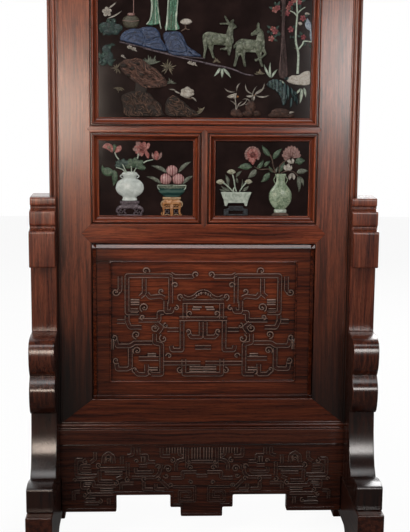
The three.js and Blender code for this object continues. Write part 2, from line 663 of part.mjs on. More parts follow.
// A tapered limb between two places, with a radius at each.
function limb([x0, z0, r0], [x1, z1, r1]) {
  const angle = Math.atan2(z1 - z0, x1 - x0);
  const length = Math.hypot(x1 - x0, z1 - z0);
  const spread = Math.acos((r0 - r1) / length);
  const outline = new THREE.Shape();
  outline.absarc(x1, z1, r1, angle - spread, angle + spread, false);
  outline.absarc(x0, z0, r0, angle + spread, angle - spread + 2 * Math.PI, false);
  return flatStone(outline);
}

// Limbs joined end to end.
function limbs(place, ...spots) {
  const places = spots.map(place);
  return places.slice(1).map((spot, index) => limb(places[index], spot));
}

// A turned vessel, half of its form in relief. Its profile gives radius and height above its foot, both in the
// picture's hundredths.
function turnedStone(place, middle, foot, profile) {
  const size = (hundredths) => place([0, 0, hundredths])[2];
  const spots = profile.map(([radius, height]) => new THREE.Vector2(size(radius), size(height)));
  const widest = Math.max(...spots.map((spot) => spot.x));
  const line = new THREE.SplineCurve(spots).getPoints(profile.length * 2);
  const side = line.map((spot) => new THREE.Vector2(Math.max(spot.x, 1), foot + spot.y));
  const bottom = new THREE.Vector2(0, side[0].y);
  const top = new THREE.Vector2(0, side.at(-1).y);
  const turned = new THREE.LatheGeometry([bottom, ...side, top], TURNED_STEPS).rotateX(Math.PI / 2);
  const [x] = place([middle, 0]);
  turned.scale(1, ROUND_RELIEF / widest, 1).translate(x, inlayBack, 0);
  return cut(turned, block(x - 2 * widest, x + 2 * widest, inlayBack, backY, bottom.y - 1, top.y + 1));
}

// A stand under a vessel: a top plate on a wider base, with openings between the feet. Heights within it are
// shares of its height, and an opening's width is a share of the space for one.
const PLATE_SHARE = 0.25;
const OPENING_LOW = 0.15;
const OPENING_HIGH = 0.5;
const OPENING_WIDTH = 0.6;
const STAND_ROUND = 2;

// The stands rest on the lower moulding of their opening.
const shelf = smallBottom + MOULDING_WIDTH + 2 * GAP;
const standTop = (place, height) => shelf + place([0, 0, height])[2];

function lowStand(place, middle, topWidth, footWidth, height, openings) {
  const [x, , topHalf] = place([middle, 0, topWidth / 2]);
  const [, , footHalf] = place([middle, 0, footWidth / 2]);
  const top = standTop(place, height);
  const plateZ = top - (top - shelf) * PLATE_SHARE;
  const outline = roundedOutline([
    [x - footHalf, shelf], [x + footHalf, shelf], [x + footHalf, plateZ - STAND_ROUND],
    [x + topHalf, plateZ], [x + topHalf, top], [x - topHalf, top],
    [x - topHalf, plateZ], [x - footHalf, plateZ - STAND_ROUND],
  ], STAND_ROUND);
  const step = (2 * footHalf) / openings;
  const [low, high] = [OPENING_LOW, OPENING_HIGH].map((share) => shelf + (top - shelf) * share);
  const gaps = [];
  for (let i = 0; i < openings; i += 1) {
    const left = x - footHalf + step * (i + (1 - OPENING_WIDTH) / 2);
    gaps.push(block(left, left + step * OPENING_WIDTH, frontY, backY, low, high));
  }
  return cut(flatStone(outline), ...gaps);
}

// Left small board: a white vase on a three-footed stand, and a bowl of peaches on a yellow one.
const WHITE_VASE_MIDDLE = -17.5;
const WHITE_STAND_HEIGHT = 15.4;
add('white_vase_stand', lowStand(onSmallLeft, WHITE_VASE_MIDDLE, 20.8, 27.8, WHITE_STAND_HEIGHT, 3),
  stone('#54474a', 0.5));
const whiteVaseFoot = standTop(onSmallLeft, WHITE_STAND_HEIGHT) + GAP;
add('white_jade_vase', turnedStone(onSmallLeft, WHITE_VASE_MIDDLE, whiteVaseFoot, [
  [7.8, 0], [8.7, 0.7], [7.6, 4.1], [11.7, 6.7], [14.7, 10.6], [15.4, 14], [14.3, 18.8], [10.9, 22.3],
  [7.1, 24.4], [8.7, 27.9], [8.2, 30.2], [5.6, 31.4],
]), stone('#dfe3da'));

const BOWL_MIDDLE = 27.4;
const BOWL_STAND_HEIGHT = 19.6;
const BOWL_RADIUS = 15.2;
const BOWL_HEIGHT = 13;
const PEACH_RADIUS = 5.8;
const bowlFoot = standTop(onSmallLeft, BOWL_STAND_HEIGHT) + GAP;
add('yellow_bowl_stand', lowStand(onSmallLeft, BOWL_MIDDLE, 19.9, 22.4, BOWL_STAND_HEIGHT, 2),
  stone('#c98f52'));
add('green_bowl', turnedStone(onSmallLeft, BOWL_MIDDLE, bowlFoot, [
  [7.4, 0], [8.7, 0.8], [13, 4.3], [14.7, 7.8], [BOWL_RADIUS, BOWL_HEIGHT],
]), stone('#2f5c4c'));

// Three peaches on the bowl, two beside each other and one on top, each a little wider than high.
function peach(across, up) {
  const [x, , radius] = onSmallLeft([BOWL_MIDDLE + across, 0, PEACH_RADIUS]);
  const [, , height] = onSmallLeft([0, 0, BOWL_HEIGHT + up]);
  const z = bowlFoot + height + radius + GAP;
  return limb([x - GAP, z, radius], [x + GAP, z, radius]);
}

add('peach_cluster', join(
  peach(-1.1 * PEACH_RADIUS, 0),
  peach(1.1 * PEACH_RADIUS, 0),
  peach(0, 1.5 * PEACH_RADIUS),
), stone('#c98d88'));

// Right small board: a white planter on a dark stand, and a tall pale green vase on a low base.
const PLANTER_MIDDLE = -27.7;
const PLANTER_STAND_HEIGHT = 10.3;

function planterOutline() {
  const [middle, , unit] = onSmallRight([PLANTER_MIDDLE, 0, 1]);
  const foot = standTop(onSmallRight, PLANTER_STAND_HEIGHT) + GAP;
  const half = [[8.4, 3.3], [9.7, 0], [11.9, 0], [13.4, 6.7], [16.7, 15]];
  const side = (towards) => half.map(([x, z]) => [middle + towards * x * unit, foot + z * unit]);
  return roundedOutline([...side(1), ...side(-1).reverse()], STAND_ROUND / 2);
}

add('planter_stand', lowStand(onSmallRight, PLANTER_MIDDLE, 15.7, 26, PLANTER_STAND_HEIGHT, 1),
  stone('#1d1d22'));
add('jade_planter', flatStone(planterOutline(), (FLAT_RELIEF + ROUND_RELIEF) / 2), stone('#c3cdbb'));

const CELADON_MIDDLE = 20.1;
const CELADON_BASE_HEIGHT = 3.3;
const CELADON_BASE_HALVES = [9.6, 6.9];

function celadonBase() {
  const [low, high] = CELADON_BASE_HALVES.map((half) => onSmallRight([0, 0, half])[2]);
  const [x] = onSmallRight([CELADON_MIDDLE, 0]);
  const top = standTop(onSmallRight, CELADON_BASE_HEIGHT);
  const corners = [[x - low, shelf], [x + low, shelf], [x + high, top], [x - high, top]];
  return roundedOutline(corners, STAND_ROUND / 2);
}

add('celadon_vase_base', flatStone(celadonBase()), stone('#5a2f27', 0.5));
const celadonFoot = standTop(onSmallRight, CELADON_BASE_HEIGHT) + GAP;
add('celadon_vase', turnedStone(onSmallRight, CELADON_MIDDLE, celadonFoot, [
  [6.9, 0], [7.1, 2], [5.6, 3.7], [8.7, 6.7], [11.7, 11.9], [12.7, 17.5], [11.7, 22.8], [8.2, 27.9],
  [5.4, 32.3], [5.1, 36.6], [6.5, 40.6], [5.6, 41.9],
]), stone('#9db392'));

// Large board: two deer on blue rocks, pine trunks, a leaning tree, and rocks in the foreground.
add('standing_deer', join(
  ...limbs(onLarge, [1.5, 37.1, 2.9], [10.9, 36.1, 2.52]),
  ...limbs(onLarge, [11.1, 36.9, 1.94], [11.8, 42.1, 1.16], [14.3, 42.3, 0.51]),
  ...limbs(onLarge, [11.6, 42.7, 0.68], [11.1, 43.9, 0.46], [9.1, 47, 0.39]),
  ...limbs(onLarge, [11.1, 43.7, 0.46], [7, 43.7, 0.37]),
  ...limbs(onLarge, [12.2, 42.7, 0.58], [13, 45.4, 0.34]),
  ...limbs(onLarge, [0.2, 36.1, 1.55], [0, 31.8, 0.58], [-0.5, 28.2, 0.51]),
  ...limbs(onLarge, [2.4, 35.4, 1.74], [2.9, 31.1, 0.62], [3.9, 28.2, 0.51]),
  ...limbs(onLarge, [11.2, 34.9, 1.55], [11.2, 29.6, 0.53]),
  ...limbs(onLarge, [10.9, 34.2, 1.16], [10.2, 32.3, 0.62], [7.3, 32, 0.46]),
), stone('#a3a890'));

add('turning_deer', join(
  ...limbs(onLarge, [17.4, 33.8, 3.1], [25.2, 33.4, 2.81]),
  ...limbs(onLarge, [25.7, 34.2, 2.32], [25.9, 39.6, 1.36], [24.7, 40.3, 1.36], [22, 39, 0.77]),
  ...limbs(onLarge, [24.7, 41.2, 0.77], [25, 43.9, 0.34]),
  ...limbs(onLarge, [15.5, 34.9, 0.97], [13.6, 33.4, 0.43]),
  ...limbs(onLarge, [16, 32.3, 1.74], [14.8, 28.4, 0.7], [13.9, 24.5, 0.58]),
  ...limbs(onLarge, [17.4, 31.5, 1.55], [18, 28, 0.66], [18.7, 24.5, 0.58]),
  ...limbs(onLarge, [25, 31.8, 1.55], [25.7, 27.8, 0.62], [26.7, 24.5, 0.58]),
  ...limbs(onLarge, [26.9, 32.6, 0.97], [28.4, 30.1, 0.51], [26.3, 28, 0.44], [23.8, 26.9, 0.44]),
), stone('#a3b094'));

add('lapis_rock_left', flatStone(smoothOutline(onLarge, [
  [-40, 36.4], [-37.7, 39.8], [-34.4, 41], [-31, 41.2], [-27.6, 42.1], [-23.2, 41.3],
  [-21.1, 38.8], [-20.5, 36.1], [-18.7, 33.8], [-18.2, 30.9], [-23.2, 31.5], [-31.9, 33.5],
])), stone('#5f6c8c'));

add('lapis_rock_right', flatStone(smoothOutline(onLarge, [
  [-19.9, 37.8], [-18.9, 39.6], [-16.2, 40], [-12.4, 39.8], [-10.4, 38.1], [-8.5, 33.8], [-5.8, 31.6],
  [-1.9, 28.8], [-8.7, 28.6], [-17, 29.9], [-18, 33],
])), stone('#64728f'));

// Trunks are drawn up one side and down the other.
add('pine_trunk_left', flatStone(smoothOutline(onLarge, [
  [-27.6, 43.1], [-25.2, 45.4], [-25.2, 50.2], [-26.1, 60.9], [-24.7, 74.4], [-28.1, 88],
  [-26.1, 88.9], [-21.6, 74.4], [-22.5, 60.9], [-21.8, 50.2], [-21.1, 43.9], [-24.2, 42.7],
])), stone('#7d9c82'));
add('pine_trunk_right', flatStone(smoothOutline(onLarge, [
  [-18.9, 41], [-18, 45.4], [-17.7, 51.2], [-16.2, 64.7], [-17.4, 80.2], [-11.6, 97.6], [-9.7, 97.2],
  [-13.6, 80.2], [-12.2, 64.7], [-13.1, 51.2], [-13.1, 44.4], [-12, 41],
])), stone('#7d9c82'));
add('brown_tree_trunk', flatStone(smoothOutline(onLarge, [
  [35.1, 19.1], [35.2, 29.9], [35.6, 41.5], [35.2, 60.9], [32.9, 80.2], [33.9, 99.6], [35.4, 99.6],
  [35.6, 80.2], [37.5, 60.9], [37.3, 41.5], [38.5, 28], [38.7, 19.1],
])), stone('#4a2a24', 0.5));

add('brown_rock_upper', flatStone(smoothOutline(onLarge, [
  [-40.2, 24.1], [-38.7, 26.2], [-34.1, 27.6], [-30.2, 27.4], [-26.7, 25], [-21.6, 21.6], [-18.2, 17.5],
  [-17.7, 14.8], [-24.7, 13.7], [-29, 14.1], [-34.1, 17.2], [-38.3, 20.6],
])), stone('#7b5142', 0.5));
add('brown_rock_lower', flatStone(smoothOutline(onLarge, [
  [-39.3, 9.8], [-36, 11.7], [-31, 12.9], [-26.7, 11.7], [-23.6, 8.6], [-20.5, 5.9], [-20.1, 1],
  [-29, 0.6], [-38, 1], [-38.7, 5.2],
])), stone('#43342f', 0.55));
add('brown_rock_middle', flatStone(smoothOutline(onLarge, [
  [-18.6, 6.3], [-17.2, 9.5], [-14.3, 10.4], [-10.9, 8.3], [-7.3, 5.2], [-3.4, 2.3], [-2.4, 0.7],
  [-11.6, 0.6], [-18.2, 1.1],
])), stone('#5d463c', 0.55));
add('cream_rock', flatStone(smoothOutline(onLarge, [
  [38.5, 17.5], [41, 20.1], [44.1, 20.2], [46.5, 21.8], [49.4, 22.1], [49.7, 19.1], [49.5, 16],
  [44.1, 15.6],
])), stone('#c9c3b4'));
add('malachite_rock', flatStone(smoothOutline(onLarge, [
  [29, 15.6], [30.5, 17.5], [34.1, 18.3], [37.1, 15.6], [38.5, 12.1], [38.3, 6.7], [36.8, 6.1], [35.6, 10.2],
  [33.7, 12.7], [31, 14.1],
])), stone('#24423c', 0.45));

export default screen;
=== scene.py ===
import math
import random

import bmesh
import bpy
from mathutils import Matrix, Vector, noise
from mathutils.bvhtree import BVHTree


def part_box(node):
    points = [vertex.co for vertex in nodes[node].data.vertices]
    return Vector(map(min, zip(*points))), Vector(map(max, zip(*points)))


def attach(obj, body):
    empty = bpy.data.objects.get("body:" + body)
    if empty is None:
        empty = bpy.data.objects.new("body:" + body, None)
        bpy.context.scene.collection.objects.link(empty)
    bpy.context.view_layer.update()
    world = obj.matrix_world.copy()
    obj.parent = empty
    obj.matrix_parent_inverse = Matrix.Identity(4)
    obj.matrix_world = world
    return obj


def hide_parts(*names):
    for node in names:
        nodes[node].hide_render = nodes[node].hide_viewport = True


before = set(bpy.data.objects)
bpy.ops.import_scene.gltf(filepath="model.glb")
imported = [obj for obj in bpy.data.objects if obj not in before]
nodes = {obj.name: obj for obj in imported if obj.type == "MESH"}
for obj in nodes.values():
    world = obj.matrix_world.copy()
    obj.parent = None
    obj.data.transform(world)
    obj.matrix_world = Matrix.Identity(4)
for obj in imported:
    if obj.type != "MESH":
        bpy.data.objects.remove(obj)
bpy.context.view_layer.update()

chance = random.Random(7)
MM = 0.001

# Depths of the board faces and carved grounds, in millimetres in front of the middle of the frame.
BOARD_FACE = -11.0
CARVED_GROUND = -20.0
APRON_FACE = -15.0
PANEL_MARGIN = -24.8
# Edges of the large board, and middle lines of the green bowl and the two vases, in millimetres.
BOARD_LEFT, BOARD_RIGHT = -257, 257
BOWL_MIDDLE, WHITE_VASE_MIDDLE, CELADON_MIDDLE = -79.9, -183.5, 189.5
# Seams narrower than this are closed. Wood is rounded over at arrises sharper than the first angle, and shaded
# crisply at those sharper than the second. Carving is shaded crisply at folds sharper than the third.
SEAM_MM = 0.02
ARRIS_ANGLE, WOOD_FOLD, CARVED_FOLD = (math.radians(angle) for angle in (40, 38, 50))


def new_object(name, data):
    """Adds an object to the scene."""
    made = bpy.data.objects.new(name, data)
    bpy.context.scene.collection.objects.link(made)
    return made


# Camera and light ---------------------------------------------------------------------------------------------

CAMERA_PLACE = (-0.11749, -2.96306, 1.25437)
CAMERA_YAW = 0.0411
CAMERA_PITCH = 0.1801
CAMERA_ROLL = 0.0083
LENS_MM = 81.2
SENSOR_MM = 36.0


def add_camera():
    """Puts the camera where the photograph was taken from."""
    forward = Vector((
        math.sin(CAMERA_YAW) * math.cos(CAMERA_PITCH),
        math.cos(CAMERA_YAW) * math.cos(CAMERA_PITCH),
        -math.sin(CAMERA_PITCH),
    ))
    level = Vector((math.cos(CAMERA_YAW), -math.sin(CAMERA_YAW), 0))
    upright = level.cross(forward)
    right = math.cos(CAMERA_ROLL) * level + math.sin(CAMERA_ROLL) * upright
    up = right.cross(forward)
    data = bpy.data.cameras.new("photo_camera")
    data.lens = LENS_MM
    data.sensor_width = SENSOR_MM
    data.clip_end = 50
    camera = new_object("photo_camera", data)
    turn = Matrix((right, up, -forward)).transposed().to_4x4()
    camera.matrix_world = Matrix.Translation(CAMERA_PLACE) @ turn
    bpy.context.scene.camera = camera


def add_softbox(name, place, target, width, height, power, colour):
    """A square lamp with a cloth front, turned towards a point."""
    data = bpy.data.lights.new(name, "AREA")
    data.shape = "RECTANGLE"
    data.size = width
    data.size_y = height
    data.energy = power
    data.color = linear(colour)[:3]
    lamp = new_object(name, data)
    lamp.location = place
    lamp.rotation_euler = (Vector(target) - Vector(place)).to_track_quat("-Z", "Y").to_euler()
    lamp.visible_camera = False


# Finishes -----------------------------------------------------------------------------------------------------

def linear(colour):
    """An sRGB hex colour as the linear colour that a shader takes."""
    channels = [int(colour[i:i + 2], 16) / 255 for i in (1, 3, 5)]
    return (*[c / 12.92 if c <= 0.04045 else ((c + 0.055) / 1.055) ** 2.4 for c in channels], 1.0)


def add(tree, kind, inputs=None, stops=None, **settings):
    """Adds a shader node, gives it its settings, fills or links its inputs, and gives back its outputs."""
    made = tree.nodes.new("ShaderNode" + kind)
    for name, value in settings.items():
        setattr(made, name, value)
    if stops:
        ramp = made.color_ramp
        while len(ramp.elements) < len(stops):
            ramp.elements.new(0.5)
        for element, (position, colour) in zip(ramp.elements, stops):
            element.position = position
            element.color = linear(colour)
    for name, value in (inputs or {}).items():
        if isinstance(value, bpy.types.NodeSocket):
            tree.links.new(value, made.inputs[name])
        else:
            made.inputs[name].default_value = value
    return made.outputs


def new_material(name):
    """An empty material, with the tree that its nodes go in and the place of its pattern."""
    material = bpy.data.materials.new(name)
    material.use_nodes = True
    tree = material.node_tree
    tree.nodes.clear()
    return material, tree, add(tree, "TexCoord")["Object"]


def grain_scale(across_mm, along_mm, axis):
    """The scale that draws a noise out into grain along an axis."""
    scale = [1000 / across_mm] * 3
    scale["xyz".index(axis)] = 1000 / along_mm
    return scale


def occlusion_darkening(tree, reach_mm, least):
    """From 1 on open surfaces down to least in corners and close to other parts, as ambient occlusion within the
    reach finds them.
    """
    shut_in = add(tree, "AmbientOcclusion", {"Distance": reach_mm * MM}, samples=6)
    return add(tree, "MapRange", {
        "Value": shut_in["AO"], "From Min": 0.35, "From Max": 0.9, "To Min": least, "To Max": 1.0,
    })["Result"]


def waxed_rosewood(name, dark, middle, light, axis, roughness=0.2, wax=0.25, height_shades=(0.3, 1.0), highlit_rims_mm=None,
                   painted_side_shade=None, painted_shade_mm=None, corner_mm=6, heights=(0.1, 1.0)):
    """Rosewood, planed and scraped, then waxed and rubbed by hand: red-brown bands, fine dark fibre lines that run
    the length of the board, short dark pores, and a soft shine that is duller in the open pores. Its colour is
    painted darker towards the floor, a painted shade for light that falls off lower down: its shades at the two
    heights, in metres, are the tones. It is darker in the corners that ambient occlusion finds. Between the two
    depths in highlit_rims_mm, the raised rims of carving are painted pale, a painted highlight. The ends of a panel
    take the painted shade painted_side_shade, and a frame takes painted shade as far as painted_shade_mm beside what
    stands before it."""
    material, tree, place = new_material(name)
    spot = add(tree, "SeparateXYZ", {"Vector": place})
    drift = add(tree, "TexNoise", {"Vector": place, "Scale": 1000 / 220, "Detail": 1.0})["Color"]
    wavy = add(tree, "VectorMath", {0: drift, 1: (0.014, 0.014, 0.014), 2: place}, operation="MULTIPLY_ADD")
    # Growth bands, 11 mm wide, and fibre lines. The real lines are under 1 mm and are drawn 3 mm wide to show.
    bands_place = add(tree, "Mapping", {"Vector": wavy[0], "Scale": grain_scale(11, 380, axis)})
    bands = add(tree, "TexNoise", {"Vector": bands_place[0], "Scale": 1.0, "Detail": 4.0, "Roughness": 0.6})
    colour = add(tree, "ValToRGB", {"Fac": bands["Fac"]}, stops=[
        (0.3, dark), (0.44, middle), (0.58, light), (0.72, middle),
    ])["Color"]
    fibre_place = add(tree, "Mapping", {"Vector": wavy[0], "Scale": grain_scale(3, 130, axis)})
    fibres = add(tree, "TexNoise", {"Vector": fibre_place[0], "Scale": 1.0, "Detail": 3.0, "Roughness": 0.7})["Fac"]
    lines = add(tree, "MapRange", {
        "Value": fibres, "From Min": 0.38, "From Max": 0.62, "To Min": 0.62, "To Max": 1.3,
    })["Result"]
    # Pores, 1.2 mm wide and 14 mm long.
    pore_place = add(tree, "Mapping", {"Vector": place, "Scale": grain_scale(1.2, 14, axis)})
    pores = add(tree, "TexNoise", {"Vector": pore_place[0], "Scale": 1.0, "Detail": 2.0})["Fac"]
    open_pores = add(tree, "MapRange", {
        "Value": pores, "From Min": 0.34, "From Max": 0.45, "To Min": 0.6, "To Max": 1.0,
    })["Result"]
    # Painted shade: the wood is made darker towards the floor, standing in for light that falls off lower down.
    tone = add(tree, "MapRange", {
        "Value": spot["Z"], "From Min": heights[0], "From Max": heights[1], "To Min": height_shades[0], "To Max": height_shades[1],
    }, interpolation_type="SMOOTHSTEP")["Result"]
    # Darker in the corners that ambient occlusion finds, within the reach in millimetres.
    shades = [lines, open_pores, occlusion_darkening(tree, corner_mm, 0.25)]
    # Painted shade: a panel is made darker at its two ends.
    if painted_side_shade:
        across = add(tree, "Math", {0: spot["X"]}, operation="ABSOLUTE")[0]
        shades.append(add(tree, "MapRange", {
            "Value": across, "From Min": 0.15, "From Max": 0.26, "To Min": 1.0, "To Max": painted_side_shade,
        }, interpolation_type="SMOOTHSTEP")["Result"])
    # Painted shade: a long reach of ambient occlusion darkens the frame beside the brackets that stand before it.
    if painted_shade_mm:
        shades.append(occlusion_darkening(tree, painted_shade_mm, 0.35))
    for shade in shades:
        tone = add(tree, "Math", {0: tone, 1: shade}, operation="MULTIPLY")[0]
    # Painted highlight: the raised rims of carving are mixed towards a pale grey-brown.
    if highlit_rims_mm:
        raised = add(tree, "MapRange", {
            "Value": spot["Y"], "From Min": highlit_rims_mm[0] * MM, "From Max": highlit_rims_mm[1] * MM, "To Max": 0.85,
        })["Result"]
        colour = add(tree, "Mix", {0: raised, 6: colour, 7: linear("#94786c")}, data_type="RGBA")[2]
    final = add(tree, "HueSaturation", {"Value": tone, "Color": colour})
    rough = add(tree, "MapRange", {
        "Value": fibres, "From Min": 0.34, "From Max": 0.6, "To Min": roughness + 0.06, "To Max": roughness,
    })
    bump = add(tree, "Bump", {"Height": pores, "Strength": 0.35, "Distance": 0.0003})
    surface = add(tree, "BsdfPrincipled", {
        "Base Color": final["Color"], "Roughness": rough["Result"], "Normal": bump["Normal"],
        "Specular IOR Level": 0.28, "Coat Weight": wax, "Coat Roughness": 0.2,
    })
    add(tree, "OutputMaterial", {"Surface": surface["BSDF"]})
    return material


def rubbed_lacquer(name):
    """Dark lacquer, brushed on in coats and rubbed down with ash: nearly black with a brown-red depth, slightly
    cloudy, and duller along the strokes of the rubbing."""
    material, tree, place = new_material(name)
    clouds = add(tree, "TexNoise", {"Vector": place, "Scale": 1000 / 60, "Detail": 5.0, "Roughness": 0.6})["Fac"]
    colour = add(tree, "ValToRGB", {"Fac": clouds}, stops=[(0.25, "#140e0d"), (0.5, "#1e1514"), (0.75, "#291d1b")])
    # Strokes of the rubbing, drawn 2 mm wide and 160 mm long.
    stroke_place = add(tree, "Mapping", {"Vector": place, "Scale": grain_scale(2, 160, "x")})
    strokes = add(tree, "TexNoise", {"Vector": stroke_place[0], "Scale": 1.0, "Detail": 2.0})["Fac"]
    both = add(tree, "Math", {0: clouds, 1: strokes}, operation="ADD")[0]
    rough = add(tree, "MapRange", {"Value": both, "From Min": 0.7, "From Max": 1.3, "To Min": 0.09, "To Max": 0.12})
    bump = add(tree, "Bump", {"Height": clouds, "Strength": 0.2, "Distance": 0.0005})
    surface = add(tree, "BsdfPrincipled", {
        "Base Color": colour["Color"], "Roughness": rough["Result"], "Normal": bump["Normal"],
        "IOR": 1.5, "Specular IOR Level": 0.16,
    })
    add(tree, "OutputMaterial", {"Surface": surface["BSDF"]})
    return material


def hardstone(name, dark, middle, light, cloud_mm=9.0, roughness=0.28, vein=None, carve_mm=3.0, carve=0.2,
              stripe_mm=None, stripe_axis="X", glow=0.0):
    """A hardstone, cut, carved and polished by hand: clouded through its depth, sometimes veined or banded, with
    shallow tool marks under the polish, and darker in the corners that ambient occlusion finds."""
    material, tree, place = new_material(name)
    clouds = add(tree, "TexNoise", {
        "Vector": place, "Scale": 1000 / cloud_mm, "Detail": 4.0, "Roughness": 0.6, "Distortion": 0.8,
    })["Fac"]
    mixed = clouds
    if stripe_mm:
        # One band of the wave texture takes 314 thousandths of its scale.
        bands = add(tree, "TexWave", {
            "Vector": place, "Scale": 314 / stripe_mm, "Distortion": 2.5, "Detail": 2.0, "Detail Scale": 1.0,
        }, bands_direction=stripe_axis)
        mixed = add(tree, "Math", {0: bands["Fac"], 1: 0.45, 2: 0.28}, operation="MULTIPLY_ADD")[0]
    colour = add(tree, "ValToRGB", {"Fac": mixed}, stops=[(0.34, dark), (0.5, middle), (0.66, light)])["Color"]
    if vein:
        threads = add(tree, "TexNoise", {
            "Vector": place, "Scale": 1000 / (cloud_mm * 1.6), "Detail": 3.0, "Distortion": 1.5,
        })["Fac"]
        off_middle = add(tree, "Math", {0: threads, 1: 0.5}, operation="SUBTRACT")[0]
        near = add(tree, "Math", {0: off_middle}, operation="ABSOLUTE")[0]
        thread = add(tree, "MapRange", {"Value": near, "From Min": 0.0, "From Max": 0.03})["Result"]
        colour = add(tree, "Mix", {0: thread, 6: linear(vein), 7: colour}, data_type="RGBA")[2]
    # Darker in the corners that ambient occlusion finds.
    darkened = add(tree, "HueSaturation", {"Value": occlusion_darkening(tree, 3, 0.45), "Color": colour})
    marks = add(tree, "TexNoise", {"Vector": place, "Scale": 1000 / carve_mm, "Detail": 2.0})
    bump = add(tree, "Bump", {"Height": marks["Fac"], "Strength": carve, "Distance": 0.001})
    surface = add(tree, "BsdfPrincipled", {
        "Base Color": darkened["Color"], "Roughness": roughness, "Normal": bump["Normal"],
        "Specular IOR Level": 0.3, "Subsurface Weight": glow, "Subsurface Radius": (0.003, 0.003, 0.0025),
    })
    add(tree, "OutputMaterial", {"Surface": surface["BSDF"]})
    return material


FRAME_TONES = ("#37170a", "#5f2b19", "#7b3f28")
STAND_TONES = ("#270f09", "#4e2317", "#6a3725")
FIELD_TONES = ("#371407", "#622917", "#7f3c22")
FRET_TONES = ("#2a110b", "#482016", "#5f2e20")

# Each wood: its shades, the axis of its grain, and from there on its roughness, wax and tones, which are painted
# shade by height.
wood = {
    # The uprights take painted shade beside the brackets, and painted shade towards the floor.
    "frame_upright": waxed_rosewood("waxed_rosewood_upright", *FRAME_TONES, "z", 0.28, 0.6, (0.1, 1.05),
                                    painted_shade_mm=170, heights=(0.3, 0.95)),
    "frame_level": waxed_rosewood("waxed_rosewood_level", *FIELD_TONES, "x", height_shades=(0.24, 1.02)),
    "field": waxed_rosewood("waxed_rosewood_field", *FIELD_TONES, "x", painted_side_shade=0.55, corner_mm=15),
    "moulding_upright": waxed_rosewood("rubbed_rosewood_moulding_upright", *FIELD_TONES, "z", 0.24, 0.4),
    "moulding_level": waxed_rosewood("rubbed_rosewood_moulding_level", *FIELD_TONES, "x", 0.24, 0.4),
    "panel_edge": waxed_rosewood("worn_rosewood_edge", *FIELD_TONES, "x", 0.2, 0.9, (0.45, 0.9), painted_side_shade=0.5),
    "stand_upright": waxed_rosewood("dark_rosewood_upright", *STAND_TONES, "z", 0.22, 0.7, (0.12, 1.5),
                                    heights=(0.25, 0.95)),
    "stand_level": waxed_rosewood("dark_rosewood_level", *STAND_TONES, "x", 0.22, 0.3, (0.38, 1.1)),
    "apron": waxed_rosewood("dark_rosewood_apron", *STAND_TONES, "x", 0.22, 0.3, (0.3, 1.1), corner_mm=15),
    "foot": waxed_rosewood("dark_rosewood_foot", *STAND_TONES, "y", 0.28, 0.4, (0.35, 1.1)),
    "panel_fret": waxed_rosewood("rubbed_rosewood_panel_fret", *FRET_TONES, "x", 0.22, 0.5, (0.38, 1.0),
                                 highlit_rims_mm=(-22.4, -24.6), painted_side_shade=0.65, corner_mm=9),
    "apron_fret": waxed_rosewood("rubbed_rosewood_apron_fret", *FRET_TONES, "x", 0.22, 0.5, (0.3, 1.0),
                                 highlit_rims_mm=(-16.2, -17.8), corner_mm=9),
    "back": waxed_rosewood("oiled_back_board", "#24120d", "#3f2319", "#553225", "z", 0.6, 0.0, (0.8, 1.0)),
}
lacquer = rubbed_lacquer("rubbed_dark_lacquer")
